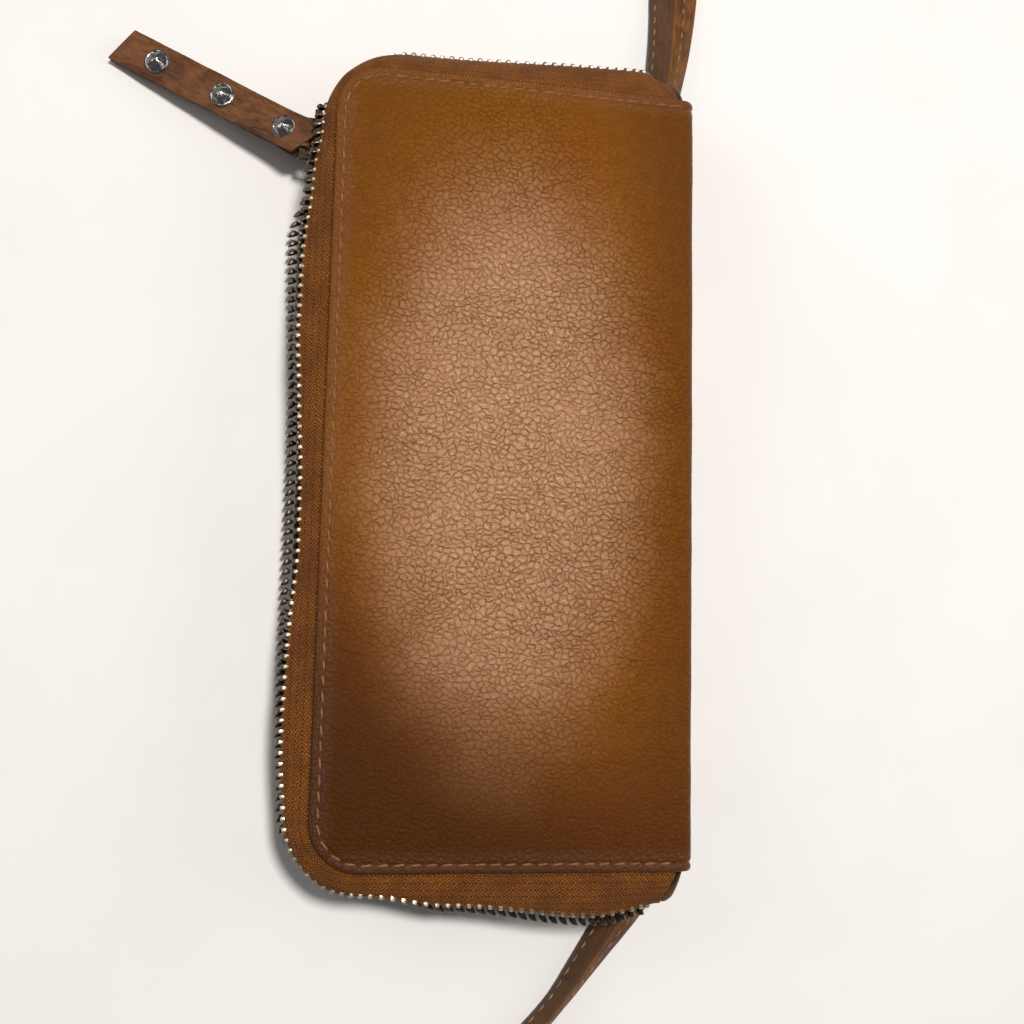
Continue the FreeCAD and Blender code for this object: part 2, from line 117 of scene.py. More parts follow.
# ---- pull tab ----
TAB_W = 9.5
TAB_PLY = 1.3
TAB_LEN = 52.5
TAB_ROOT = 2.15          # how far past the bar its root runs, towards the zip
TAB_SKEW = math.radians(27.4)
TAB_DROOP = math.radians(12.5)
STUD_FROM_TIP = (10.5, 29.5, 47.5)
STUD_R = 3.0
STUD_H = 1.9
STUD_DENT = 0.30
STUD_SIDES = 40
TAB_FOLD = 6.0           # distance from the bar where the two plies part
TAB_ROWS, TAB_FOLD_ROWS = 30, 9
TAB_RING = ((-1.0, -0.55), (-1.0, 0.55), (-0.93, 0.95), (-0.5, 1.0), (0.0, 1.0), (0.5, 1.0), (0.93, 0.95),
            (1.0, 0.55), (1.0, -0.55), (0.93, -0.95), (0.5, -1.0), (0.0, -1.0), (-0.5, -1.0), (-0.93, -0.95))
LOOP_HALF = 2.7          # half width of the loop round the bar
LOOP_R = 1.62
LOOP_HALF_THICK = 0.38

UP = np.array((0, 0, 1.0))


# ---- camera ----
def make_camera():
    """Camera looking down at the wallet from a little below and left of its middle."""
    target = Vector((-0.02, -12.19, 25.0)) * MM
    distance, tilt, side, roll = 0.300, math.radians(13.031), math.radians(-145.506), math.radians(1.192)
    back = Vector((math.sin(tilt) * math.cos(side), math.sin(tilt) * math.sin(side), math.cos(tilt)))
    level = Vector((0, 1, 0)).cross(back).normalized()
    upright = back.cross(level)
    right = level * math.cos(roll) + upright * math.sin(roll)
    up = upright * math.cos(roll) - level * math.sin(roll)
    data = bpy.data.cameras.new("camera")
    data.sensor_width = 36.0
    data.lens = 44.28
    data.clip_start, data.clip_end = 0.01, 20
    camera = bpy.data.objects.new("camera", data)
    place = Matrix((right, up, back)).transposed().to_4x4()
    place.translation = target + back * distance
    camera.matrix_world = place
    bpy.context.scene.collection.objects.link(camera)
    bpy.context.scene.camera = camera


# ---- mesh helpers ----
def piece(name, verts, faces, material, skin, flat_angle, slot):
    """Mesh object from points in millimetres; skin holds surface coordinates in millimetres."""
    mesh = bpy.data.meshes.new(name)
    points = np.asarray(verts, float).reshape(-1, 3) * MM
    mesh.from_pydata(points.tolist(), [], [list(map(int, face)) for face in faces])
    if skin is not None:
        layer = mesh.attributes.new("skin", "FLOAT_VECTOR", "POINT")
        layer.data.foreach_set("vector", np.asarray(skin, np.float32).ravel())
    mesh.validate()
    mesh.shade_smooth()
    mesh.set_sharp_from_angle(angle=math.radians(flat_angle))
    mesh.materials.append(material)
    made = bpy.data.objects.new(name, mesh)
    bpy.context.scene.collection.objects.link(made)
    return made


def quads(rows, cols, closed=False):
    """Faces of a grid of points stored row by row; closed joins each row's ends."""
    faces = []
    for i in range(rows - 1):
        for j in range(cols if closed else cols - 1):
            here, after = i * cols, (j + 1) % cols
            faces.append((here + j, here + after, here + cols + after, here + cols + j))
    return faces


def sheet_shell(outer, inner, outer_skin, inner_skin):
    """Closed sheet from two grids of points, with a wall all round."""
    rows, cols = outer.shape[:2]
    count = rows * cols
    faces = quads(rows, cols)
    faces += [tuple(count + k for k in reversed(face)) for face in faces]
    rim = list(range(cols)) + [i * cols + cols - 1 for i in range(1, rows)]
    rim += [(rows - 1) * cols + j for j in range(cols - 2, -1, -1)]
    rim += [i * cols for i in range(rows - 2, 0, -1)]
    for a, b in zip(rim, rim[1:] + rim[:1]):
        faces.append((b, a, count + a, count + b))
    verts = np.concatenate([outer.reshape(-1, 3), inner.reshape(-1, 3)])
    skin = np.concatenate([outer_skin.reshape(-1, 3), inner_skin.reshape(-1, 3)])
    return verts, faces, skin


def tube(sections):
    """Verts and faces of a closed loft through rings of equal length."""
    sections = np.asarray(sections, float)
    rows, cols = sections.shape[:2]
    faces = quads(rows, cols, closed=True)
    faces.append(tuple(range(cols - 1, -1, -1)))
    faces.append(tuple((rows - 1) * cols + j for j in range(cols)))
    return sections.reshape(-1, 3), faces


def joined(parts):
    """Verts, faces and skin of many small meshes put into one."""
    verts, faces, skins, base = [], [], [], 0
    for part in parts:
        points = np.asarray(part[0], float).reshape(-1, 3)
        verts.append(points)
        faces += [tuple(base + k for k in face) for face in part[1]]
        skins.append(np.asarray(part[2], float).reshape(-1, 3) if len(part) > 2 else points)
        base += len(points)
    return np.concatenate(verts), faces, np.concatenate(skins)


def flipped(faces):
    return [tuple(reversed(face)) for face in faces]


def on_side(verts, faces, sign):
    """Front piece with its faces turned outwards, or mirrored to the back when sign is -1."""
    if sign > 0:
        return verts, flipped(faces)
    verts[:, 2] = TOP - verts[:, 2]
    return verts, faces


def rounded_square(angle):
    """A point at this angle on a square with generous corners, one unit from its middle."""
    c, u = math.cos(angle), math.sin(angle)
    size = (abs(c) ** 3 + abs(u) ** 3) ** (-1 / 3)
    return c * size, u * size


def unit(vector):
    return vector / np.linalg.norm(vector)


def distances(points):
    """Distance run along a line at each of its points."""
    return np.concatenate([[0], np.cumsum(np.linalg.norm(np.diff(points, axis=0), axis=1))])


def read_along(run, values, place):
    """Value of each column at a distance along a line."""
    return np.array([np.interp(place, run, values[:, k]) for k in range(values.shape[1])])


def wobble(x, y, scale, seed=0.0):
    """Smooth noise from -1 to 1."""
    return noise.noise(Vector((x / scale, y / scale, seed)))


def smooth(value):
    """Ease from 0 to 1."""
    value = min(1.0, max(0.0, value))
    return value * value * (3 - 2 * value)


# ---- materials ----
class Paint:
    """Short way to wire a procedural material."""

    def __init__(self, name, **sockets):
        self.material = bpy.data.materials.new(name)
        self.material.use_nodes = True
        self.tree = self.material.node_tree
        self.shader = self.tree.nodes["Principled BSDF"]
        self.space = "3D"
        self.set(**sockets)

    def set(self, **sockets):
        for key, value in sockets.items():
            self.wire(self.shader.inputs[key.replace("_", " ")], value)

    def wire(self, socket, value):
        if isinstance(value, bpy.types.NodeSocket):
            self.tree.links.new(value, socket)
        elif isinstance(value, (tuple, list)) and len(value) == 3 and socket.type == "RGBA":
            socket.default_value = (*value, 1.0)
        else:
            socket.default_value = value

    def node(self, kind, inputs=(), **settings):
        made = self.tree.nodes.new("ShaderNode" + kind)
        for key, value in settings.items():
            setattr(made, key, value)
        for key, value in dict(inputs).items():
            self.wire(made.inputs[key], value)
        return made

    def coords(self, kind="skin"):
        """Surface coordinates in millimetres."""
        self.space = "2D" if kind == "skin" else "3D"
        if kind == "skin":
            return self.node("Attribute", attribute_name="skin").outputs["Vector"]
        place = self.node("TexCoord").outputs["Object"]
        return self.node("VectorMath", {0: place, 3: 1000.0}, operation="SCALE").outputs[0]

    def math(self, operation, a, b=0.0, c=0.0, clamp=False):
        return self.node("Math", {0: a, 1: b, 2: c}, operation=operation, use_clamp=clamp).outputs[0]

    def scaled(self, value, factor, more):
        return self.math("MULTIPLY_ADD", value, factor, more)

    def times(self, a, b):
        return self.math("MULTIPLY", a, b)

    def plus(self, a, b, clamp=False):
        return self.math("ADD", a, b, clamp=clamp)

    def less(self, a, b):
        return self.math("SUBTRACT", a, b)

    def size(self, value):
        return self.math("ABSOLUTE", value)

    def wave(self, value, pitch):
        return self.math("SINE", self.times(value, 2 * math.pi / pitch))

    def noise(self, at, scale, detail=3.0, rough=0.55):
        made = self.node("TexNoise", {"Vector": at, "Scale": scale, "Detail": detail, "Roughness": rough},
                         noise_dimensions=self.space)
        return made.outputs["Fac"]

    def cells(self, at, scale, random_share=0.9):
        """Distance to the nearest edge of irregular cells."""
        made = self.node("TexVoronoi", {"Vector": at, "Scale": scale, "Randomness": random_share},
                         feature="DISTANCE_TO_EDGE", voronoi_dimensions=self.space)
        return made.outputs["Distance"]

    def warp(self, at, scale, amount):
        """Coordinates pushed about by noise."""
        push = self.node("TexNoise", {"Vector": at, "Scale": scale, "Detail": 2.0},
                         noise_dimensions=self.space).outputs["Color"]
        centred = self.node("VectorMath", {0: push, 1: (0.5, 0.5, 0.5)}, operation="SUBTRACT").outputs[0]
        sized = self.node("VectorMath", {0: centred, 3: amount}, operation="SCALE").outputs[0]
        return self.node("VectorMath", {0: at, 1: sized}, operation="ADD").outputs[0]

    def stretch(self, at, scale, angle=0.0):
        return self.node("Mapping", {"Vector": at, "Scale": scale, "Rotation": (0, 0, angle)}).outputs[0]

    def fit(self, value, low, high, to_low=0.0, to_high=1.0):
        """Smooth step of a value between two others."""
        made = self.node("MapRange", {0: value, 1: low, 2: high, 3: to_low, 4: to_high},
                         interpolation_type="SMOOTHSTEP")
        return made.outputs[0]

    def dome(self, value, high):
        """Round-topped pebble: steep at its valley and level at its middle."""
        made = self.node("MapRange", {0: value, 1: 0.0, 2: high, 3: 0.0, 4: 1.0}).outputs[0]
        return self.times(made, self.less(2.0, made))

    def mix(self, share, a, b):
        return self.node("Mix", {0: share, 6: a, 7: b}, data_type="RGBA").outputs[2]

    def oval(self, x, y, centre, reach):
        """Nothing at an ellipse's centre and one on its edge, growing with the square."""
        squares = [self.math("POWER", self.times(self.less(value, middle), 1 / half), 2.0)
                   for value, middle, half in zip((x, y), centre, reach)]
        return self.plus(*squares)

    def bump(self, height, depth_mm, strength=1.0):
        inputs = {"Height": height, "Distance": depth_mm * MM, "Strength": strength}
        return self.node("Bump", inputs).outputs[0]


def pebble_grain(p, at, rim):
    """Pebbles, dimples and creases, stronger in the middle than at the rim.

    Gives the distance from a pebble's valley, the grain, where it is strong, the pores
    and the height of the face.
    """
    bent = p.warp(p.warp(p.warp(at, 0.10, 3.2), 0.8, 0.6), 2.6, 0.26)
    cell = p.cells(p.stretch(bent, (0.86, 1.0, 1.0), PEBBLE_TURN), PEBBLES, random_share=0.95)
    dimple = p.dome(p.cells(p.warp(at, 0.8, 0.6), DIMPLES), 0.36)
    folded = p.stretch(p.warp(at, 0.07, 6.0), (0.30, 1.0, 1.0), CREASE_TURN)
    crease = p.dome(p.cells(folded, CREASES), 0.16)
    zone = p.fit(p.noise(at, 0.022, 2.0), 0.34, 0.60, 0.78, 1.0)
    zone = p.times(zone, p.fit(rim, 0.25, 0.90, 1.0, 0.34))
    grain = p.scaled(dimple, 0.16, p.times(p.dome(cell, 0.40), 0.66))
    pores = p.noise(at, PORES, 4.0, 0.65)
    height = p.scaled(pores, 0.30, p.times(p.scaled(crease, 0.36, grain), zone))
    return cell, grain, zone, pores, height


def pebbled_leather(name, base, warm, pale, deep, rub_and_highlight):
    """Full grain leather: rounded pebbles, creases that rise to the spine, uneven dye.

    Painted shade darkens it round the rim and towards the lower zip-side corner, it is darker
    beside the spine, and a painted highlight makes it pale in the middle, where the face is also more polished.
    """
    p = Paint(name)
    at = p.coords("skin")
    split = p.node("SeparateXYZ", {0: at})
    inward, along = p.size(split.outputs[0]), split.outputs[1]
    rim = p.oval(inward, along, RIM_CENTRE, RIM_REACH)
    highlight_zone = p.oval(inward, along, HIGHLIGHT_CENTRE, HIGHLIGHT_REACH)
    highlight_zone = p.plus(highlight_zone, p.fit(p.noise(at, 0.055, 3.0), 0.3, 0.7, -0.05, 0.05))
    highlight_zone = p.math("POWER", p.fit(highlight_zone, 0.0, 1.55, 1.0, 0.0), 1.8)
    cell, grain, zone, pores, height = pebble_grain(p, at, rim)
    # dye, then painted shade round the rim and towards the lower zip-side corner and darker beside the spine, a
    # painted highlight in the middle, then painted shade in the valleys and darker pores
    tone = p.mix(p.fit(p.noise(at, 0.028, 3.0, 0.5), 0.40, 0.66), base, warm)
    tone = p.mix(p.fit(p.noise(at, 0.041, 2.0), 0.48, 0.70, 0.0, 0.8), tone, pale)
    # corner grows towards the lower zip-side corner, where painted shade darkens the cover
    corner = p.scaled(inward, 0.62, p.times(along, -1.0))
    mottle = p.times(p.fit(p.noise(at, 0.33, 4.0, 0.62), 0.3, 0.7), 0.16)
    # mottle is dye; the rim and corner shares are painted shade; the share by the inward distance darkens beside
    # the spine
    for share in (mottle, p.fit(rim, 0.25, 1.1, 0.0, 0.38), p.fit(inward, 14, 36, 0.30, 0.0),
                  p.fit(corner, 60, 134, 0.0, 0.90)):
        tone = p.mix(share, tone, deep)
    # painted highlight: paler colour in the middle of the cover
    tone = p.mix(p.times(highlight_zone, 0.95), tone, rub_and_highlight)
    # painted shade in the valleys between the pebbles
    valley = p.times(p.math("POWER", p.fit(cell, 0.0, 0.27, 1.0, 0.0), 1.9), zone)
    valley = p.times(valley, p.fit(p.noise(at, 0.7, 3.0, 0.6), 0.40, 0.60))
    for share in (p.fit(pores, 0.40, 0.68, 0.0, 0.20), p.times(valley, 0.58)):
        tone = p.mix(share, tone, deep)
    # polish: the turned edge and the middle under the painted highlight, less in the valleys
    edge = p.math("MAXIMUM", p.fit(inward, 96.0, 99.5), p.fit(p.size(along), 90.0, 93.5))
    polish = p.scaled(edge, 0.16, p.fit(highlight_zone, 0.0, 1.0, 0.08, 1.0))
    polish = p.times(polish, p.fit(cell, 0.0, 0.10, 0.55, 1.0))
    p.set(Base_Color=tone, Roughness=p.fit(grain, 0.1, 0.8, 0.40, 0.29), Specular_IOR_Level=polish,
          Normal=p.bump(height, GRAIN_DEPTH))
    return p.material


def smooth_leather(name, base, streak, deep, coords="skin", along=0.35, painted_shade_half=None):
    """Waxed strap leather: long fibres, scuffs and dark creases; with a shade colour, painted shade darkens one
    half and a painted highlight runs along the ridge.
    """
    p = Paint(name)
    at = p.coords(coords)
    fibre = p.noise(p.stretch(p.warp(at, 0.2, 1.6), (along, 1.1, 1.0)), 0.9, 5.0, 0.62)
    patch = p.noise(at, 0.09, 3.0, 0.5)
    fine = p.noise(at, 2.6, 4.0, 0.6)
    lines = p.cells(p.stretch(p.warp(at, 0.15, 3.0), (0.16, 0.62, 1.0), math.radians(9)), 0.8)
    crack = p.times(p.fit(lines, 0.0, 0.05, 1.0, 0.0), p.fit(patch, 0.44, 0.60))
    tone = p.mix(p.fit(fibre, 0.36, 0.64), base, streak)
    tone = p.mix(p.fit(patch, 0.40, 0.64, 0.0, 0.6), tone, deep)
    if painted_shade_half:
        # painted shade on the strap's left half, and a painted highlight along its ridge
        side = p.node("SeparateXYZ", {0: at}).outputs[1]
        tone = p.mix(p.fit(side, -0.9, 0.3, 0.75, 0.0), tone, painted_shade_half)
        tone = p.mix(p.fit(p.size(side), 0.0, 0.7, 0.55, 0.0), tone, streak)
    tone = p.mix(p.times(crack, 0.8), tone, (0.018, 0.008, 0.004))
    height = p.less(p.scaled(fine, 0.35, fibre), p.times(crack, 0.8))
    p.set(Base_Color=tone, Roughness=p.fit(fibre, 0.3, 0.7, 0.40, 0.62), Specular_IOR_Level=0.22,
          Normal=p.bump(height, 0.12, 0.8))
    return p.material


def zip_weave(name, dark, light, coords="skin"):
    """Herringbone tape: bands of slanting threads, skin x along the tape and y across it."""
    p = Paint(name)
    at = p.warp(p.warp(p.coords(coords), 0.7, 0.6), 2.2, 0.22)
    split = p.node("SeparateXYZ", {0: at})
    along, across = split.outputs[0], split.outputs[1]
    band = p.math("PINGPONG", across, WEAVE_LANE)
    slant = p.wave(p.plus(along, band), WEAVE_PITCH)
    cross = p.wave(p.scaled(band, -1.6, along), WEAVE_CROSS)
    rib = p.scaled(slant, 0.5, 0.5)
    fleck = p.times(rib, p.scaled(cross, 0.36, 0.64))
    seam = p.fit(p.size(p.less(band, 0.88)), 0.66, 0.88, 0.0, 0.28)
    level = p.less(fleck, seam)
    fuzz = p.noise(at, 3.5, 3.0, 0.6)
    tone = p.mix(p.fit(p.scaled(fuzz, 0.6, level), 0.10, 1.25), dark, light)
    tone = p.mix(p.fit(p.noise(at, 0.12, 2.0), 0.35, 0.7, 0.0, 0.4), tone, dark)
    p.set(Base_Color=tone, Roughness=0.72, Specular_IOR_Level=0.25,
          Normal=p.bump(p.scaled(fuzz, 0.4, level), 0.32, 0.95))
    return p.material


def aged_metal(name, dark, bright, rough, by_skin=False, spotted=0.5):
    """Antique metal, brighter where it is rubbed; with by_skin, skin z holds how rubbed a place is, which on the
    teeth's legs also paints in their highlights.
    """
    p = Paint(name, Metallic=1.0)
    spots = p.noise(p.coords("object"), 1.1, 4.0, 0.6)
    share = p.fit(spots, 0.35, 0.72, 0.0, spotted)
    if by_skin:
        rub_and_highlight = p.node("SeparateXYZ", {0: p.coords("skin")}).outputs[2]
        share = p.plus(share, rub_and_highlight, clamp=True)
    p.set(Base_Color=p.mix(share, dark, bright), Roughness=p.fit(spots, 0.3, 0.7, rough, rough + 0.16),
          Normal=p.bump(spots, 0.05, 0.5))
    return p.material


def woven_cloth(name, dark, light, pitch=0.7):
    """Plain woven lining."""
    p = Paint(name)
    at = p.coords("object")
    split = p.node("SeparateXYZ", {0: at})
    warp = p.wave(p.plus(split.outputs[0], split.outputs[2]), pitch)
    weft = p.wave(split.outputs[1], pitch)
    level = p.scaled(p.times(warp, weft), 0.5, 0.5)
    fuzz = p.noise(at, 1.5, 4.0, 0.6)
    tone = p.mix(p.fit(p.scaled(fuzz, 0.5, level), 0.2, 1.2), dark, light)
    p.set(Base_Color=tone, Roughness=0.85, Sheen_Weight=0.2, Normal=p.bump(level, 0.12, 0.8))
    return p.material


def thread_paint(name, base, pale):
    """Twisted sewing thread."""
    p = Paint(name)
    at = p.coords("object")
    turned = p.node("SeparateXYZ", {0: p.stretch(at, (1, 1, 1), math.radians(38))})
    twist = p.wave(turned.outputs[0], 0.42)
    tone = p.mix(p.fit(p.noise(at, 0.9, 2.0), 0.3, 0.7), base, pale)
    p.set(Base_Color=tone, Roughness=0.6, Sheen_Weight=0.05, Normal=p.bump(twist, 0.05, 0.7))
    return p.material


# the last colour is the painted highlight in the cover's middle; deep also serves as painted shade
COVER = pebbled_leather("cover_leather", (0.220, 0.072, 0.004), (0.222, 0.067, 0.005),
                        (0.219, 0.077, 0.003), (0.046, 0.012, 0.001), (0.450, 0.220, 0.098))
POCKET = smooth_leather("pocket_leather", (0.17, 0.065, 0.018), (0.22, 0.09, 0.028), (0.10, 0.035, 0.012),
                        coords="object")
PULL = smooth_leather("pull_leather", (0.100, 0.036, 0.011), (0.146, 0.056, 0.019), (0.052, 0.018, 0.006))
# the last colour is painted shade on the strap's left half
STRAP = smooth_leather("strap_leather", (0.106, 0.038, 0.007), (0.160, 0.062, 0.014), (0.048, 0.018, 0.005),
                       along=0.22, painted_shade_half=(0.060, 0.033, 0.018))
RAW_EDGE = smooth_leather("cut_edge", (0.055, 0.026, 0.018), (0.13, 0.062, 0.045), (0.026, 0.013, 0.010),
                          coords="object")
END_TAB = smooth_leather("end_tab_leather", (0.060, 0.030, 0.016), (0.13, 0.066, 0.034),
                         (0.030, 0.015, 0.010))
TAPE = zip_weave("zip_tape", (0.056, 0.014, 0.001), (0.345, 0.113, 0.007))
# the teeth's legs are rubbed bright brass, a colour which also paints in their highlights
TEETH = aged_metal("zip_metal", (0.088, 0.062, 0.043), (0.70, 0.61, 0.46), 0.27, by_skin=True, spotted=0.10)
# the slider is darkened as painted shade, to read as the shadow between the teeth and the tab
SLIDER_SHADE_METAL = aged_metal("slider_shade_metal", (0.016, 0.011, 0.008), (0.070, 0.052, 0.034), 0.40)
COIN_METAL = aged_metal("coin_brass", (0.20, 0.14, 0.06), (0.62, 0.47, 0.24), 0.28)
STEEL = aged_metal("stud_steel", (0.26, 0.26, 0.25), (0.62, 0.61, 0.58), 0.12)
LINING = woven_cloth("lining", (0.050, 0.026, 0.014), (0.13, 0.075, 0.042))
BOARD = woven_cloth("board", (0.30, 0.24, 0.17), (0.42, 0.35, 0.26), 1.4)
THREAD = thread_paint("thread", (0.25, 0.105, 0.030), (0.15, 0.055, 0.012))
DARK_THREAD = thread_paint("strap_thread", (0.13, 0.070, 0.034), (0.26, 0.15, 0.08))


# ---- strap ----
# The strap's route in metres: out of the upper anchor, round the zip side, back into the lower one.
ON_TABLE = 0.0016
STRAP_ROUTE = [
    (0.0415, 0.0974, 0.0054), (0.0446, 0.1120, 0.0034), (0.0468, 0.1290, 0.0020),
    *((x, y, ON_TABLE) for x, y in (
        (0.0475, 0.1470), (0.0428, 0.1652), (0.0315, 0.1798), (0.0150, 0.1886), (-0.0035, 0.1910),
        (-0.0320, 0.1845), (-0.0640, 0.1730), (-0.0980, 0.1605), (-0.1270, 0.1430), (-0.1435, 0.1160),
        (-0.1470, 0.0780), (-0.1415, 0.0310), (-0.1375, -0.0190), (-0.1360, -0.0670), (-0.1370, -0.1040),
        (-0.1300, -0.1345), (-0.1120, -0.1515), (-0.0800, -0.1590), (-0.0380, -0.1585), (-0.0060, -0.1525),
    )),
    (0.0145, -0.1355, 0.0017), (0.0272, -0.1180, 0.0024),
    (0.0358, -0.1060, 0.0040), (0.0400, -0.0974, 0.0054),
]
STRAP_SIDE = 6.9          # width of each half of the folded strap
STRAP_THICK = 1.7
STRAP_FLAT = 1.2          # ridge height where the strap lies relaxed
STRAP_DROP = 1.3          # route point over the strap's underside
STRAP_SHARES = [-1.0, -0.96, -0.84, -0.6, -0.34, -0.12, 0.0, 0.12, 0.34, 0.6, 0.84, 0.96, 1.0]
STRAP_ROWS = (-0.84, 0.40)          # rows of stitches, as shares of the half width
STRAP_STITCH = (2.3, 0.26)          # length and radius of a stitch
STRAP_WIDTHS = (          # from the upper end, then from the lower end: run and half width
    ((0, 4.5), (10, 4.7), (22, 5.6), (40, 6.7), (75, 6.0)),
    ((0, 5.5), (8, 5.0), (22, 3.9), (40, 2.6), (60, 2.6), (110, 6.0)),
)


def route_points():
    """Points along the route's smooth curve, in metres."""
    data = bpy.data.curves.new("strap_route", "CURVE")
    data.dimensions = "3D"
    spline = data.splines.new("NURBS")
    spline.points.add(len(STRAP_ROUTE) - 1)
    for point, place in zip(spline.points, STRAP_ROUTE):
        point.co = (*place, 1.0)
    spline.order_u = 3
    spline.use_endpoint_u = True
    spline.resolution_u = 14
    holder = bpy.data.objects.new("strap_route", data)
    mesh = bpy.data.meshes.new_from_object(holder)
    points = np.array([vert.co for vert in mesh.vertices], float)
    bpy.data.objects.remove(holder)
    bpy.data.meshes.remove(mesh)
    return points


def strap_fold(run, total):
    """Half width and ridge height of the folded strap at a distance along it, in millimetres."""
    upper, lower = STRAP_WIDTHS
    near_upper = run < total / 2
    table = upper if near_upper else lower
    half = float(np.interp(run if near_upper else total - run, *zip(*table)))
    ridge = math.sqrt(max(0.0, STRAP_SIDE ** 2 - half ** 2))
    return half, min(4.2, max(STRAP_FLAT, ridge * 0.75))


def strap_frames(points):
    """Distance run, forward and sideways directions at each point, in millimetres."""
    run = distances(points)
    ahead = np.gradient(points, axis=0)
    ahead /= np.linalg.norm(ahead, axis=1)[:, None]
    side = np.cross(ahead, UP)
    side /= np.linalg.norm(side, axis=1)[:, None]
    return run, ahead, side


def strap_top(share, ridge):
    """Height of the strap's upper face at a share of its half width, with soft edges."""
    rise = ridge * (1 - abs(share) ** 1.15)
    return rise - 0.45 * max(0.0, abs(share) - 0.86) / 0.14


def make_strap():
    """Folded strap along its route, with raw edges and two rows of stitches."""
    metres = route_points()
    points = metres / MM
    run, ahead, side = strap_frames(points)
    rings, skins = [], []
    for point, here, across in zip(points, run, side):
        half, ridge = strap_fold(here, run[-1])
        floor = point - UP * STRAP_DROP
        top = [floor + across * half * s + UP * (STRAP_THICK + strap_top(s, ridge)) for s in STRAP_SHARES]
        under = [floor + across * half * s * 0.97 + UP * (0.12 + strap_top(s, ridge) * 0.9)
                 for s in reversed(STRAP_SHARES)]
        rings.append(top + under)
        skins.append([(here, STRAP_SIDE * s, 0) for s in STRAP_SHARES]
                     + [(here, STRAP_SIDE * s + 40, 1) for s in reversed(STRAP_SHARES)])
    verts, faces = tube(rings)
    strap = piece("strap_leather", verts, faces, STRAP, np.array(skins), 60, "strap_leather")
    strap.data.materials.append(RAW_EDGE)
    last = len(STRAP_SHARES)
    for face in strap.data.polygons:
        if {v % (2 * last) for v in face.vertices} in ({last - 1, last}, {0, 2 * last - 1}):
            face.material_index = 1
    stitches = [strap_stitch(points, run, ahead, side, place, row) for row in STRAP_ROWS
                for place in np.arange(6.0, run[-1] - 6, STITCH_PITCH)]
    thread = piece("strap_stitching", *joined(stitches)[:2], DARK_THREAD, None, 60, "strap_leather")
    for made in (strap, thread):
        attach(made, "back")
    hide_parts("strap")


def strap_stitch(points, run, ahead, side, place, row):
    """One thread lying on the strap's upper face."""
    middle, forward, across = (read_along(run, values, place) for values in (points, ahead, side))
    half, ridge = strap_fold(place, run[-1])
    centre = middle + across * half * row
    centre[2] += STRAP_THICK + strap_top(row, ridge) - STRAP_DROP
    return thread_loop(centre, forward, UP, *STRAP_STITCH)


def thread_loop(centre, forward, up, length, radius, sink=0.55):
    """One stitch: a short thread that dips into the leather at both ends."""
    centre, forward, up = np.asarray(centre), np.asarray(forward), np.asarray(up)
    forward = unit(forward)
    across = np.cross(up, forward)
    rings = []
    for t in (-1.0, -0.86, -0.5, 0.0, 0.5, 0.86, 1.0):
        dip = -sink * abs(t) ** 3.2 + 0.06
        size = radius * (1.0 - 0.45 * abs(t) ** 6)
        middle = centre + forward * (length / 2 * t) + up * dip
        rings.append([middle + (across * math.cos(a) + up * math.sin(a)) * size
                      for a in np.linspace(0, 2 * math.pi, 7)[:-1]])
    return tube(rings)


# ---- covers ----
def edge_steps(half):
    """Places from -half to half, close together near both ends."""
    near = EDGE_STEPS + [5.4, 7.0]
    inner = list(np.arange(-half + 8.6, half - 8.5, 1.6))
    return [-half + d for d in near] + inner + [half - d for d in reversed(near)]


def edge_distance(x, y):
    """How far a place on the cover is from its turned edge."""
    beyond = abs(y) - (HALF_L - CORNER_R)
    if x < LEFT + CORNER_R and beyond > 0:
        return CORNER_R - math.hypot(x - LEFT - CORNER_R, beyond)
    return min(x - LEFT, HALF_L - abs(y))


def leather_height(d, spine_near, x, y):
    """Height of the leather's face over its flat rim."""
    d = max(0.0, d)
    roll = 0.0
    if d <= EDGE_ROLL:
        roll = -EDGE_DROP * (1 - math.sqrt(max(0.0, 1 - (1 - d / EDGE_ROLL) ** 2)))
    groove = -GROOVE_DEPTH * math.exp(-((d - STITCH_IN) / 0.45) ** 2)
    rim = 0.08 * math.exp(-((d - 1.15) / 0.4) ** 2)
    crown = CROWN * smooth((d - STITCH_IN) / 16) * smooth(spine_near / 14)
    swell = 0.10 * smooth((d - STITCH_IN) / 1.6)
    waves = 0.16 * wobble(x, y, 19, 3) + 0.10 * wobble(x, y, 8, 9)
    return roll + groove + rim + crown + swell + waves * smooth(d / 6)


def cover_rows():
    """Lines across the cover and over the spine: x, z, angle turned and distance from the zip side."""
    rows = [(LEFT + t, TOP, 0.0, t) for t in EDGE_STEPS + [5.2, 6.4, 7.8, 9.4, 11, 12]]
    rows += [(x, TOP, 0.0, x - LEFT) for x in np.arange(LEFT + 13.5, BEND_X - 0.7, 1.5)]
    flat = BEND_X - LEFT
    for angle in np.linspace(0, math.pi / 2, 9):
        x, z = BEND_X + SPINE_BEND * math.sin(angle), TOP - SPINE_BEND * (1 - math.cos(angle))
        rows.append((x, z, angle, flat + SPINE_BEND * angle))
    for drop in np.linspace(0, TOP - SPINE_BEND - MID, 7)[1:]:
        rows.append((WALL_X, TOP - SPINE_BEND - drop, math.pi / 2, flat + SPINE_BEND * math.pi / 2 + drop))
    return rows


def cover_reach(x):
    """Half length of the cover at x, less at its rounded corners."""
    if x >= LEFT + CORNER_R:
        return HALF_L
    return HALF_L - CORNER_R + math.sqrt(max(0.0, CORNER_R ** 2 - (LEFT + CORNER_R - x) ** 2))


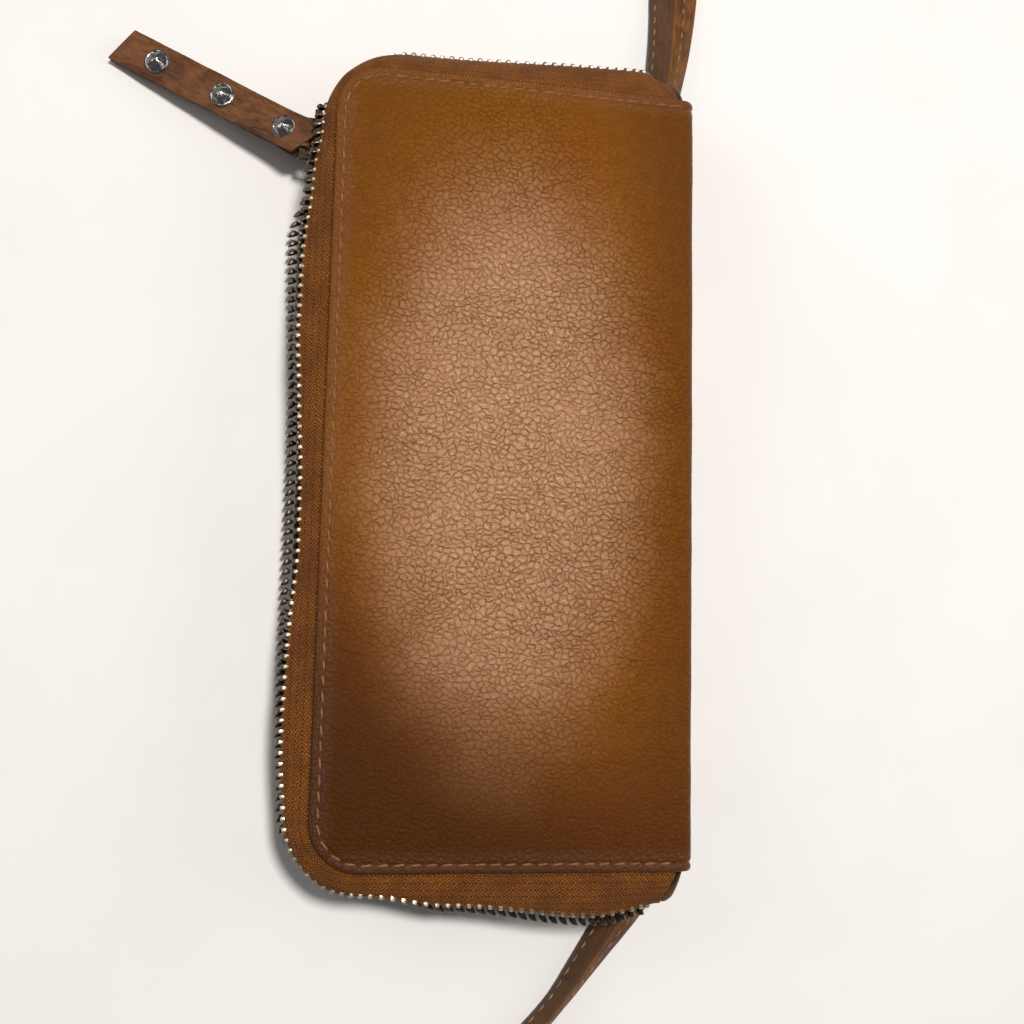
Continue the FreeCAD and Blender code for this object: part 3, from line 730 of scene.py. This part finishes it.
def make_cover(name, sign, nodes):
    """Leather of one cover with its half of the spine, folded over at the edge."""
    rows, spots = cover_rows(), edge_steps(HALF_L)
    total = rows[-1][3]
    outer = np.zeros((len(rows), len(spots), 3))
    inner, skin = np.zeros_like(outer), np.zeros_like(outer)
    for i, (x, z, angle, length) in enumerate(rows):
        normal = np.array((math.sin(angle), 0, math.cos(angle)))
        for j, spot in enumerate(spots):
            y = spot / HALF_L * cover_reach(x)
            d = edge_distance(x, y)
            stray = 0.22 * wobble(x, y, 14, 21 + sign) * math.exp(-d / 3)
            base = np.array((x, y + stray * (y > 0) - stray * (y < 0), z))
            outer[i, j] = base + normal * leather_height(d, BEND_X + 3 - x, x, y)
            inner[i, j] = base - normal * SKIN
            skin[i, j] = (sign * (total - length), y, 0)
    verts, faces, coords = sheet_shell(outer, inner, skin, skin + (0, 0, 5.0))
    verts, faces = on_side(verts, faces, sign)
    made = piece(name, verts, faces, COVER, coords, 70, "cover_leather")
    for node in nodes:
        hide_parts(node)
    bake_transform(made)


def stitch_line():
    """Line of the stitches round the zip side of a cover, a little inside its edge."""
    radius = CORNER_R - STITCH_IN
    x, y = LEFT + CORNER_R, HALF_L - CORNER_R
    upper = [(SPINE_X - SPINE_BEND - 0.5, HALF_L - STITCH_IN), (x, HALF_L - STITCH_IN)]
    upper += [(x + radius * math.cos(angle), y + radius * math.sin(angle))
              for angle in np.radians(np.linspace(90, 180, 14)[1:])]
    return np.array(upper + [(x, -y) for x, y in reversed(upper)])


def along_path(path, pitch, start):
    """Evenly spaced places and directions along a line of straight pieces."""
    run = distances(path)
    for place in np.arange(start, run[-1], pitch):
        way = read_along(run, path, place + 0.3) - read_along(run, path, place - 0.3)
        yield read_along(run, path, place), unit(way)


def cover_stitches(name, body, sign):
    """Stitches along the groove of one cover, each turned a little off the line."""
    threads = []
    c, u = math.cos(STITCH_TILT), math.sin(STITCH_TILT)
    for (x, y), way in along_path(stitch_line(), STITCH_PITCH, 1.2):
        turned = (way[0] * c - way[1] * u, way[0] * u + way[1] * c, 0)
        level = TOP + leather_height(STITCH_IN, 20, x, y) + 0.10
        threads.append(thread_loop((x, y, level), turned, UP, STITCH_LONG, THREAD_R, 0.5))
    verts, faces, _ = joined(threads)
    if sign < 0:
        verts[:, 2] = TOP - verts[:, 2]
        faces = flipped(faces)
    made = piece(name, verts, faces, THREAD, None, 60, "cover_leather")
    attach(made, body)


# ---- main zip ----
TOP_RUN = TAPE_END_X - LEFT + ZIP_OUT_SIDE - ZIP_CORNER_R
CORNER_RUN = ZIP_CORNER_R * math.pi / 2
SIDE_RUN = 2 * (HALF_L + ZIP_OUT_END - ZIP_CORNER_R)
ZIP_LENGTH = 2 * TOP_RUN + 2 * CORNER_RUN + SIDE_RUN
LOWER = ZIP_LENGTH - TOP_RUN - CORNER_RUN          # where the lower corner starts
UPPER = TOP_RUN + CORNER_RUN                       # where the upper corner ends
SLIDER_MOUTH = UPPER + SIDE_RUN / 2 - SLIDER_END_Y
BACK_SHIFT = 3.0 - BACK_INSET % TOOTH_PITCH + TOOTH_PITCH / 2          # back teeth fall between the front's
END_SLANT = 2.6           # how far the tape's end leans away from the spine at its edge
WAVER, WAVER_LONG = 1.1, 103                       # the open tape's edge along the long side
BACK_WAVER = 0.2          # the back tape's share of it
TAPE_STEP = 1.3           # distance between the tape's rows of points
TOOTH_LEAN = 3            # largest stray angle of a tooth, in degrees
TOOTH_SIDES = 10
TOOTH_RINGS = (  # out, along from, along to, half thickness, rubbed and painted highlight, share of the lean
    (-0.95, -0.38, 0.38, 0.62, 1.0, 0), (-0.85, -0.54, 0.54, 0.90, 1.0, 0),
    (-0.40, -0.60, 0.60, 1.00, 1.0, 0), (0.02, -0.58, 0.58, 0.94, 0.9, 0),
    (0.20, -0.34, 0.40, 0.70, 0.0, 0), (0.62, -0.36, 0.50, 0.76, 0.0, 0.05),
    (1.00, -0.60, 0.74, 0.86, 0.0, 0.0), (1.45, -0.70, 0.78, 0.90, 0.0, 0.10),
    (1.85, -0.62, 0.62, 0.84, 0.0, 0.30), (2.15, -0.44, 0.36, 0.66, 0.0, 0.55),
    (2.35, -0.22, 0.10, 0.36, 0.0, 0.80),
)

# The front tape's section at places along the zip: each point is a share of the way out to
# the zip line and a height over the mid plane. The last number is how far, in degrees, its
# teeth lean outwards from hanging straight down.
ROOT = ((-0.6, 10.9), (0.08, 10.9))          # its first two points nearly everywhere
FRONT_LINE = (
    (-4.0, (-0.6, 10.9), (0.08, 10.7), (0.70, 7.6), (1.00, 4.6), (1.10, 2.6), 30),
    (3.0, *ROOT, (0.90, 7.9), (1.26, 4.9), (1.39, 2.8), 35),
    (TOP_RUN - 3, *ROOT, (0.62, 8.4), (0.92, 5.2), (1.08, 2.6), 37),
    (TOP_RUN + 15, *ROOT, (0.40, 9.4), (0.50, 6.6), (0.47, 3.6), 0),
    (UPPER - 7.5, *ROOT, (0.32, 9.6), (0.44, 7.2), (0.40, 4.6), 6),
    (UPPER - 3.5, *ROOT, (0.28, 9.9), (0.44, 8.2), (0.48, 6.4), 70),
    (UPPER + 2, *ROOT, (0.28, 9.9), (0.50, 8.2), (0.62, 6.5), 80),
    (UPPER + 14, *ROOT, (0.46, 9.8), (0.74, 8.4), (0.87, 6.8), 72),
    (UPPER + 40, *ROOT, (0.50, 9.9), (0.80, 8.9), (1.00, 7.7), 30),
    (LOWER - 26, *ROOT, (0.50, 9.9), (0.80, 8.9), (1.00, 7.7), 24),
    (LOWER, *ROOT, (0.46, 10.0), (0.76, 9.0), (0.93, 7.6), 6),
    (LOWER + 16, *ROOT, (0.42, 10.0), (0.67, 9.2), (0.79, 7.7), -8),
    (LOWER + 31, *ROOT, (0.36, 10.2), (0.55, 9.4), (0.65, 8.2), 8),
    (LOWER + 50, *ROOT, (0.50, 10.0), (0.80, 8.9), (0.97, 7.6), 44),
    (LOWER + 84, *ROOT, (0.62, 9.7), (1.06, 8.4), (1.36, 6.9), 66),
    (ZIP_LENGTH + 4, (-0.6, 10.9), (0.08, 10.7), (0.50, 9.2), (0.82, 7.6), (1.00, 6.2), 60),
)
# The back tape's section, mirrored: closed behind the slider, then lying open on the table side.
BACK_LINE = (
    (-4.0, *ROOT, (0.90, 7.9), (1.20, 4.8), (1.30, 2.8), 0),
    (TOP_RUN, *ROOT, (0.62, 8.4), (0.90, 5.2), (1.05, 2.6), 0),
    (UPPER - 10, *ROOT, (0.40, 9.4), (0.46, 6.6), (0.44, 3.2), 0),
    (SLIDER_MOUTH, *ROOT, (0.50, 9.0), (0.52, 6.4), (0.50, 3.6), 10),
    (SLIDER_MOUTH + 16, *ROOT, (0.60, 9.9), (1.05, 8.9), (1.32, 7.8), 84),
    (SLIDER_MOUTH + 62, *ROOT, (0.50, 9.9), (0.80, 8.9), (1.02, 7.8), 88),
    (LOWER - 30, *ROOT, (0.50, 9.9), (0.80, 8.9), (1.00, 7.8), 88),
    (LOWER, *ROOT, (0.42, 9.9), (0.66, 8.9), (0.80, 7.8), 84),
    (LOWER + 16, *ROOT, (0.30, 9.9), (0.46, 8.9), (0.56, 7.8), 78),
    (LOWER + 31, *ROOT, (0.30, 9.9), (0.44, 8.9), (0.52, 7.8), 78),
    (ZIP_LENGTH, *ROOT, (0.46, 9.7), (0.70, 8.7), (0.84, 7.6), 78),
)


def edge_points(s):
    """Point on the leather's edge and point on the zip's outer line, s along the zip."""
    upper = s <= ZIP_LENGTH / 2
    run = s if upper else ZIP_LENGTH - s
    side = 1 if upper else -1
    inner_c = (LEFT + CORNER_R, HALF_L - CORNER_R)
    outer_c = (LEFT - ZIP_OUT_SIDE + ZIP_CORNER_R, HALF_L + ZIP_OUT_END - ZIP_CORNER_R)
    if run < TOP_RUN:
        part = run / TOP_RUN
        inner = (TAPE_END_X + (inner_c[0] - TAPE_END_X) * part, HALF_L)
        outer = (TAPE_END_X + (outer_c[0] - TAPE_END_X) * part, HALF_L + ZIP_OUT_END)
    elif run < TOP_RUN + CORNER_RUN:
        angle = math.pi / 2 + (run - TOP_RUN) / ZIP_CORNER_R
        inner = (inner_c[0] + CORNER_R * math.cos(angle), inner_c[1] + CORNER_R * math.sin(angle))
        outer = (outer_c[0] + ZIP_CORNER_R * math.cos(angle), outer_c[1] + ZIP_CORNER_R * math.sin(angle))
    else:
        part = 1 - (run - TOP_RUN - CORNER_RUN) / (SIDE_RUN / 2)
        inner = (LEFT, inner_c[1] * part)
        outer = (LEFT - ZIP_OUT_SIDE, outer_c[1] * part)
    return np.array((inner[0], side * inner[1], 0)), np.array((outer[0], side * outer[1], 0))


def side_wave(s, mirror):
    """Slow in and out waver of the open tape's edge along the long side, in millimetres."""
    y = UPPER + SIDE_RUN / 2 - s
    near = smooth((HALF_L - 4 - abs(y)) / 20)
    wave = (WAVER * math.cos(2 * math.pi * (y - 38) / WAVER_LONG) + 0.35 * wobble(y, 0, 16, 5)) * near
    return wave * (BACK_WAVER if mirror else 1.0)


def zip_section(keys, s):
    """Section points and lean at s, eased between the two nearest keys."""
    later = next((k for k in range(1, len(keys) - 1) if s < keys[k][0]), len(keys) - 1)
    before, after = keys[later - 1], keys[later]
    part = smooth((s - before[0]) / (after[0] - before[0]))
    points = [(a[0] + (b[0] - a[0]) * part, a[1] + (b[1] - a[1]) * part)
              for a, b in zip(before[1:6], after[1:6])]
    return points, before[6] + (after[6] - before[6]) * part


def tape_line(keys, s, wave):
    """Middle line of a tape's section, as points from inside the cover to its edge."""
    inner, outer = edge_points(s)
    out_dir = unit(outer - inner)
    at_end = smooth(1 - (min(s, ZIP_LENGTH - s) + 4) / 9)
    points = []
    for index, (share, height) in enumerate(zip_section(keys, s)[0]):
        point = inner + (outer - inner) * share + out_dir * wave * index / 4
        slant = END_SLANT * max(0.0, share) * at_end
        points.append(np.array((point[0] - slant, point[1], MID + height)))
    return points


def curve_through(points, count):
    """Smooth line through the given points."""
    points = [np.asarray(p, float) for p in points]
    line = [points[0]] + points + [points[-1]]
    result = []
    for k in range(count):
        t = k / (count - 1) * (len(points) - 1)
        i = min(int(t), len(points) - 2)
        u = t - i
        a, b, c, d = line[i], line[i + 1], line[i + 2], line[i + 3]
        result.append(0.5 * (2 * b + (c - a) * u + (2 * a - 5 * b + 4 * c - d) * u * u
                             + (3 * b - a - 3 * c + d) * u ** 3))
    return result


def tape_faces(s, line):
    """Upper face, lower face and skin across a tape, thicker at the cord along its edge."""
    root, edge = edge_points(s)
    out_way = unit(edge - root)
    across = distances(line)
    upper, lower, marks = [], [], []
    for k, (point, way) in enumerate(zip(line, np.gradient(np.array(line), axis=0))):
        flat, rise = float(way @ out_way), way[2]
        size = math.hypot(flat, rise) or 1.0
        normal = out_way * (-rise / size) + np.array((0, 0, flat / size))
        thick = 0.28 + 0.30 * smooth((k - 14) / 2)
        puff = 0.10 * wobble(s, across[k], 7, 31)
        upper.append(point + normal * (thick + puff))
        lower.append(point - normal * (thick - puff))
        marks.append((s, across[k], 0))
    return upper, lower, marks


def make_tape(name, body, keys, start, end, mirror, node):
    """One tape of the zip, from inside the cover to the foot of its teeth."""
    rows = []
    for s in np.linspace(start, end, int((end - start) / TAPE_STEP) + 1):
        rows.append(tape_faces(s, curve_through(tape_line(keys, s, side_wave(s, mirror)), 17)))
    outer, inner, skin = (np.array(part) for part in zip(*rows))
    verts, faces, coords = sheet_shell(outer, inner, skin, skin + (0, 30.0, 1.0))
    verts, faces = on_side(verts, faces, -1 if mirror else 1)
    made = piece(name, verts, faces, TAPE, coords, 60, "zip_tape")
    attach(made, body)
    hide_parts(node)


def tooth_mesh(hook):
    """One zip tooth: legs that grip the tape, a waist and a rounded head that leans along the row.

    Points are (along the row, out from the tape, across the tape's face). hook says how far
    the head leans. The third value returned tells how rubbed each point is; the rubbed legs'
    bright colour also paints in their highlights.
    """
    rings, marks = [], []
    for out, low, high, thick, rub_and_glint, lean in TOOTH_RINGS:
        middle, reach = (low + high) / 2 + hook * lean, (high - low) / 2
        ring = []
        for k in range(TOOTH_SIDES):
            c, u = rounded_square((2 * k + 1) * math.pi / TOOTH_SIDES)
            ring.append((middle + reach * c, out, thick * u))
            marks.append(rub_and_glint * (1.0 if abs(u) > 0.5 else 0.35))
        rings.append(ring)
    return *tube(rings), np.array(marks)


def make_teeth(name, body, keys, start, end, shift, mirror, node):
    """A row of teeth along a tape's edge."""
    round_head, faces, marks = tooth_mesh(0.35)
    claw = tooth_mesh(1.45)[0] * (1.14, 1.12, 1)
    parts = []
    for s in np.arange(start + shift, end - 1.4, TOOTH_PITCH):
        wave = side_wave(s, mirror)
        line = tape_line(keys, s, wave)
        ahead = unit(tape_line(keys, s + 0.25, wave)[-1] - line[-1])
        inner, outer = edge_points(s)
        outward = unit(outer - inner)
        lean = math.radians(zip_section(keys, s)[1] + rng.uniform(-TOOTH_LEAN, TOOTH_LEAN))
        point_dir = outward * math.sin(lean) - np.array((0, 0, math.cos(lean)))
        face_dir = np.cross(ahead, point_dir)
        base = line[-1] + point_dir * 0.35
        turn = math.radians(rng.uniform(-TOOTH_LEAN, TOOTH_LEAN))
        along = ahead * math.cos(turn) + point_dir * math.sin(turn)
        out = point_dir * math.cos(turn) - ahead * math.sin(turn)
        hooked = 0.9 if mirror else smooth((s - LOWER) / 30)
        verts = round_head + (claw - round_head) * hooked
        placed = base + verts[:, :1] * along + verts[:, 1:2] * out + verts[:, 2:] * face_dir
        skin = np.column_stack([placed[:, 0], placed[:, 1], marks])
        parts.append((placed, faces, skin))
    for s, way in ((start + 1.3, 1), (end - 1.0, -1)):
        parts.append(zip_stop(keys, s, way, marks * 0.5))
    points, all_faces, skin = joined(parts)
    if mirror:
        points[:, 2] = TOP - points[:, 2]
        all_faces = flipped(all_faces)
    made = piece(name, points, all_faces, TEETH, skin, 50, "zip_metal")
    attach(made, body)
    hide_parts(node, node.replace("teeth", "stops"))


def zip_stop(keys, s, way, marks):
    """Wider, blunt tooth that ends a row; way points to the row's middle."""
    verts, faces, _ = tooth_mesh(0.0)
    line = tape_line(keys, s, 0.0)
    ahead = unit((tape_line(keys, s + way * 0.25, 0.0)[-1] - line[-1]) * way)
    down = -UP
    face_dir = np.cross(ahead, down)
    placed = line[-1] + down * 0.3 + verts[:, :1] * ahead * 1.25 + verts[:, 1:2] * down * 0.62
    placed = placed + verts[:, 2:] * face_dir * 1.2
    return placed, faces, np.column_stack([placed[:, 0], placed[:, 1], marks])


# ---- pull tab ----
def tab_point(out, side, rise, fold):
    """Place on the tab: out from the bail's bar, sideways and over its middle.

    With fold 0 the place follows the tab's skew; with fold 1 it stays square to the bar.
    """
    square = Vector((-out, side, rise))
    skewed = Matrix.Rotation(-TAB_SKEW, 3, "Z") @ square
    place = skewed.lerp(square, fold)
    return np.array(BAR + Matrix.Rotation(-TAB_DROOP, 3, "Y") @ place)


def tab_limit(side):
    """How far past the bar a place across the tab reaches, so its root ends in line with the zip."""
    return -(TAB_ROOT + side * math.sin(TAB_SKEW)) / math.cos(TAB_SKEW)


def tab_section(out, rise, length, tip_slant, part, rise_sign):
    """Ring of points round a ply and its skin; part runs from 0 at the fold to 1 at the root."""
    thick = TAB_PLY / 2 * 0.96
    ring, marks = [], []
    for across, level in TAB_RING:
        stray = 0.12 * wobble(length, across * 3 + rise_sign * 5, 6, 40)
        side = across * (TAB_W / 2 + stray)
        lift = 0.16 * wobble(length, side, 13, 44)
        here = out - tip_slant * across + (tab_limit(side) - TAB_FOLD) * part
        ring.append(tab_point(here, side, rise_sign * (rise + thick * level) + lift, 0.0))
        marks.append((length, side, 0.0 if abs(across) < 0.95 else 1.0))
    return ring, marks


def tab_ply(rise_sign):
    """One ply of the tab from its tip to its root; from the fold on it rises over the bail's bar."""
    sections = []
    for out in np.linspace(TAB_LEN, TAB_FOLD, TAB_ROWS):
        slant = 1.2 * smooth((out - TAB_LEN + 9) / 9)
        sections.append(tab_section(out, TAB_PLY / 2, out, slant, 0.0, rise_sign))
    for part in np.linspace(0.12, 1.0, TAB_FOLD_ROWS):
        rise = TAB_PLY / 2 + smooth(part * 1.5)
        sections.append(tab_section(TAB_FOLD, rise, TAB_FOLD - 8 * part, 0.0, part, rise_sign))
    rings, skins = zip(*sections)
    verts, faces = tube(rings)
    return verts, faces if rise_sign > 0 else flipped(faces), np.array(skins)


def tab_loop():
    """Loop of leather round the bail's bar, square to it."""
    outline = ((-1, -1), (-1, 1), (0, 1), (1, 1), (1, -1), (0, -1))
    rings, skins = [], []
    for angle in np.linspace(-150, 150, 19):
        c, u = math.cos(math.radians(angle)), math.sin(math.radians(angle))
        ring = []
        for across, level in outline:
            radius = LOOP_R + LOOP_HALF_THICK * level
            ring.append(tab_point(-radius * c, across * LOOP_HALF, radius * u, 1.0))
        rings.append(ring)
        skins.append([(angle / 30, across * LOOP_HALF, 0) for across, _ in outline])
    return *tube(rings), np.array(skins)


def make_tab():
    """Two plies of the tab that close over the bail's bar, and the loop between them."""
    verts, faces, coords = joined([tab_ply(1), tab_ply(-1), tab_loop()])
    made = piece("pull_tab_leather", verts, faces, PULL, coords, 50, "pull_leather")
    made.data.materials.append(RAW_EDGE)
    ring = len(TAB_RING)
    plies = 2 * (TAB_ROWS + TAB_FOLD_ROWS) * ring
    for face in made.data.polygons:
        if max(face.vertices) < plies and {v % ring for v in face.vertices} in ({0, 1}, {7, 8}):
            face.material_index = 1
    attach(made, "pull_tab")
    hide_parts("pull_leather")


def revolve(profile, centre_out, dent=0.0, seed=0.0):
    """Verts and faces of a round piece on the tab from (radius, rise) pairs."""
    rings = []
    for radius, rise in profile:
        ring = []
        for angle in np.linspace(0, 2 * math.pi, STUD_SIDES + 1)[:-1]:
            c, u = math.cos(angle), math.sin(angle)
            bump = dent * wobble(c * 9, u * 9, 7, seed + radius) * min(1, radius)
            ring.append(tab_point(centre_out + radius * c, radius * u, rise + bump, 0.0))
        rings.append(ring)
    return tube(rings)


def make_studs():
    """Cone studs on the tab with a turned rim, and their flat caps on the underside."""
    top, rim = TAB_PLY, STUD_R
    cone = [(rim - 0.1, top - 0.15), (rim, top + 0.05), (rim, top + 0.28), (rim - 0.14, top + 0.46),
            (rim - 0.32, top + 0.50), (rim - 0.45, top + 0.44), (2.0, top + 0.92), (1.3, top + 1.32),
            (0.7, top + 1.62), (0.3, top + 1.80), (0.08, top + STUD_H - 0.04)]
    cap = [(0.4, -top - 0.72), (2.3, -top - 0.70), (2.75, -top - 0.55), (rim, -top - 0.2), (rim, -top + 0.1)]
    seat = [(rim - 0.3, top - 0.1), (rim + 0.32, top - 0.05), (rim + 0.30, top + 0.10),
            (rim - 0.2, top + 0.16)]
    outs = [TAB_LEN - distance for distance in STUD_FROM_TIP]
    cones = joined([revolve(cone, out, STUD_DENT, index * 5.0) for index, out in enumerate(outs)])
    caps = joined([revolve(cap, out) for out in outs])
    seats = joined([revolve(seat, out) for out in outs])
    studs = piece("tab_studs", *cones[:2], STEEL, None, 35, "stud_steel")
    backs = piece("tab_stud_caps", *caps[:2], STEEL, None, 35, "stud_steel")
    dark = piece("tab_stud_seats", *seats[:2], RAW_EDGE, None, 35, "pull_leather")
    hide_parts("pull_studs")
    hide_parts("pull_stud_backs")
    for made in (studs, backs, dark):
        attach(made, "pull_tab")


# ---- zip end tabs ----
END_REACH = 9.2           # how far it stands out from the cover's end
END_MIDDLE = 5.6          # height of its middle over its CAD piece's foot
END_SIDES = 14


def make_end_tab(name, sign, node):
    """Small folded leather patch that closes the zip's end beside the spine."""
    low, high = box_mm(node)
    rings, skins = [], []
    for t in np.linspace(0, 1, 11):
        x = high.x - 0.8 - 2.7 * t ** 1.2
        y = sign * (HALF_L - 1.0 + END_REACH * t)
        tall = (8.4 - 4.2 * t ** 1.6) * (1 - 0.35 * smooth((t - 0.85) / 0.15))
        wide = 0.8 + 0.6 * smooth(t * 1.4) - 0.8 * smooth((t - 0.86) / 0.14)
        ring = []
        for k in range(END_SIDES):
            angle = 2 * math.pi * k / END_SIDES
            c, u = rounded_square(angle)
            stray = 0.18 * wobble(t * 8, angle * 2, 3, 70 + sign)
            ring.append((x + (wide + stray) * c, y, low.z + END_MIDDLE + (tall + stray) * u))
        rings.append(ring)
        skins.append([(t * 10, k, 0) for k in range(END_SIDES)])
    verts, faces = tube(rings)
    made = piece(name, verts, flipped(faces) if sign > 0 else faces, END_TAB, np.array(skins), 60,
                 "cover_leather")
    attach(made, "spine")
    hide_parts(node)


# ---- carried-over pieces ----
def dress_nodes():
    """Materials and softened edges for the CAD pieces that stay."""
    paints = {
        "cover_leather": COVER, "pocket_leather": POCKET, "pull_leather": PULL, "strap_leather": STRAP,
        "lining": LINING, "board": BOARD, "zip_tape": TAPE, "zip_metal": SLIDER_SHADE_METAL,
        "coin_brass": COIN_METAL, "stud_steel": STEEL,
    }
    tape = zip_weave("coin_tape", (0.035, 0.018, 0.010), (0.12, 0.06, 0.03), coords="object")
    small_leather = smooth_leather("anchor_leather", (0.12, 0.055, 0.024), (0.19, 0.09, 0.045),
                                   (0.06, 0.026, 0.012), coords="object")
    slots = {part["node"]: part["material_slot"] for part in frame["record"]["subparts"]}
    for name, node in frame["nodes"].items():
        node.data.materials.clear()
        paint = paints[slots[name]]
        if name.startswith("coin_tape"):
            paint = tape
        if name.startswith(("strap_anchor", "zip_end_tab")):
            paint = small_leather
        node.data.materials.append(paint)
        if node.hide_render:
            continue
        soft = 0.35 if "slider" in name else 0.12 if "teeth" in name else 0.22
        bevel = node.modifiers.new("soft_edges", "BEVEL")
        bevel.width = soft * MM
        bevel.segments = 2
        bevel.limit_method = "ANGLE"


# ---- surroundings ----
def make_stage():
    """Pale floor under the wallet."""
    p = Paint("floor", Roughness=0.85, Specular_IOR_Level=0.1)
    speck = p.noise(p.coords("object"), 0.02, 3.0)
    p.set(Base_Color=p.mix(p.fit(speck, 0.3, 0.7), (0.705, 0.692, 0.680), (0.725, 0.712, 0.700)))
    mesh = bpy.data.meshes.new("floor")
    half = 3.0
    corners = [(-half, -half, 0), (half, -half, 0), (half, half, 0), (-half, half, 0)]
    mesh.from_pydata(corners, [], [(0, 1, 2, 3)])
    mesh.materials.append(p.material)
    floor = bpy.data.objects.new("floor", mesh)
    bpy.context.scene.collection.objects.link(floor)


def add_light(name, place, target, size, power, colour):
    """Round lamp at a place, turned to a target."""
    data = bpy.data.lights.new(name, "AREA")
    data.shape = "DISK"
    data.size = size
    data.energy = power
    data.color = colour
    lamp = bpy.data.objects.new(name, data)
    lamp.location = place
    lamp.rotation_mode = "QUATERNION"
    lamp.rotation_quaternion = (Vector(place) - Vector(target)).to_track_quat("Z", "Y")
    bpy.context.scene.collection.objects.link(lamp)


def make_light():
    """One small strong lamp over the spine's upper end, and two wide weak ones at the sides."""
    scene = bpy.context.scene
    scene.view_settings.view_transform = "Standard"
    world = bpy.data.worlds.new("studio")
    scene.world = world
    world.use_nodes = True
    back = world.node_tree.nodes["Background"]
    back.inputs["Color"].default_value = (1.0, 0.985, 0.965, 1)
    back.inputs["Strength"].default_value = 0.13
    add_light("key", (0.070, 0.165, 0.98), (0.0, 0.01, 0.0), 0.15, 10.6, (1.0, 0.96, 0.92))
    add_light("left", (-0.85, 0.45, 0.55), (0.0, 0.0, 0.0), 0.7, 2.7, (1.0, 0.98, 0.96))
    add_light("right", (0.85, 0.10, 0.50), (0.0, 0.0, 0.0), 0.7, 2.4, (1.0, 0.98, 0.96))


make_camera()
make_strap()
make_cover("cover_front_leather", 1, ["front_cover_leather"])
make_cover("cover_back_leather", -1, ["back_cover_leather", "spine_leather"])
cover_stitches("cover_front_stitching", "front", 1)
cover_stitches("cover_back_stitching", "back", -1)
make_tape("zip_front_tape", "front", FRONT_LINE, -3.6, ZIP_LENGTH + 3.6, False, "zip_tape_front")
make_tape("zip_back_tape", "back", BACK_LINE, BACK_INSET, ZIP_LENGTH - BACK_INSET, True, "zip_tape_back")
make_teeth("zip_front_teeth", "front", FRONT_LINE, 0.0, ZIP_LENGTH, 3.0, False, "zip_teeth_front")
make_teeth("zip_back_teeth", "back", BACK_LINE, BACK_INSET, ZIP_LENGTH - BACK_INSET, BACK_SHIFT, True,
           "zip_teeth_back")
make_end_tab("zip_end_upper", 1, "zip_end_tab_upper")
make_end_tab("zip_end_lower", -1, "zip_end_tab_lower")
make_tab()
make_studs()
dress_nodes()
make_stage()
make_light()
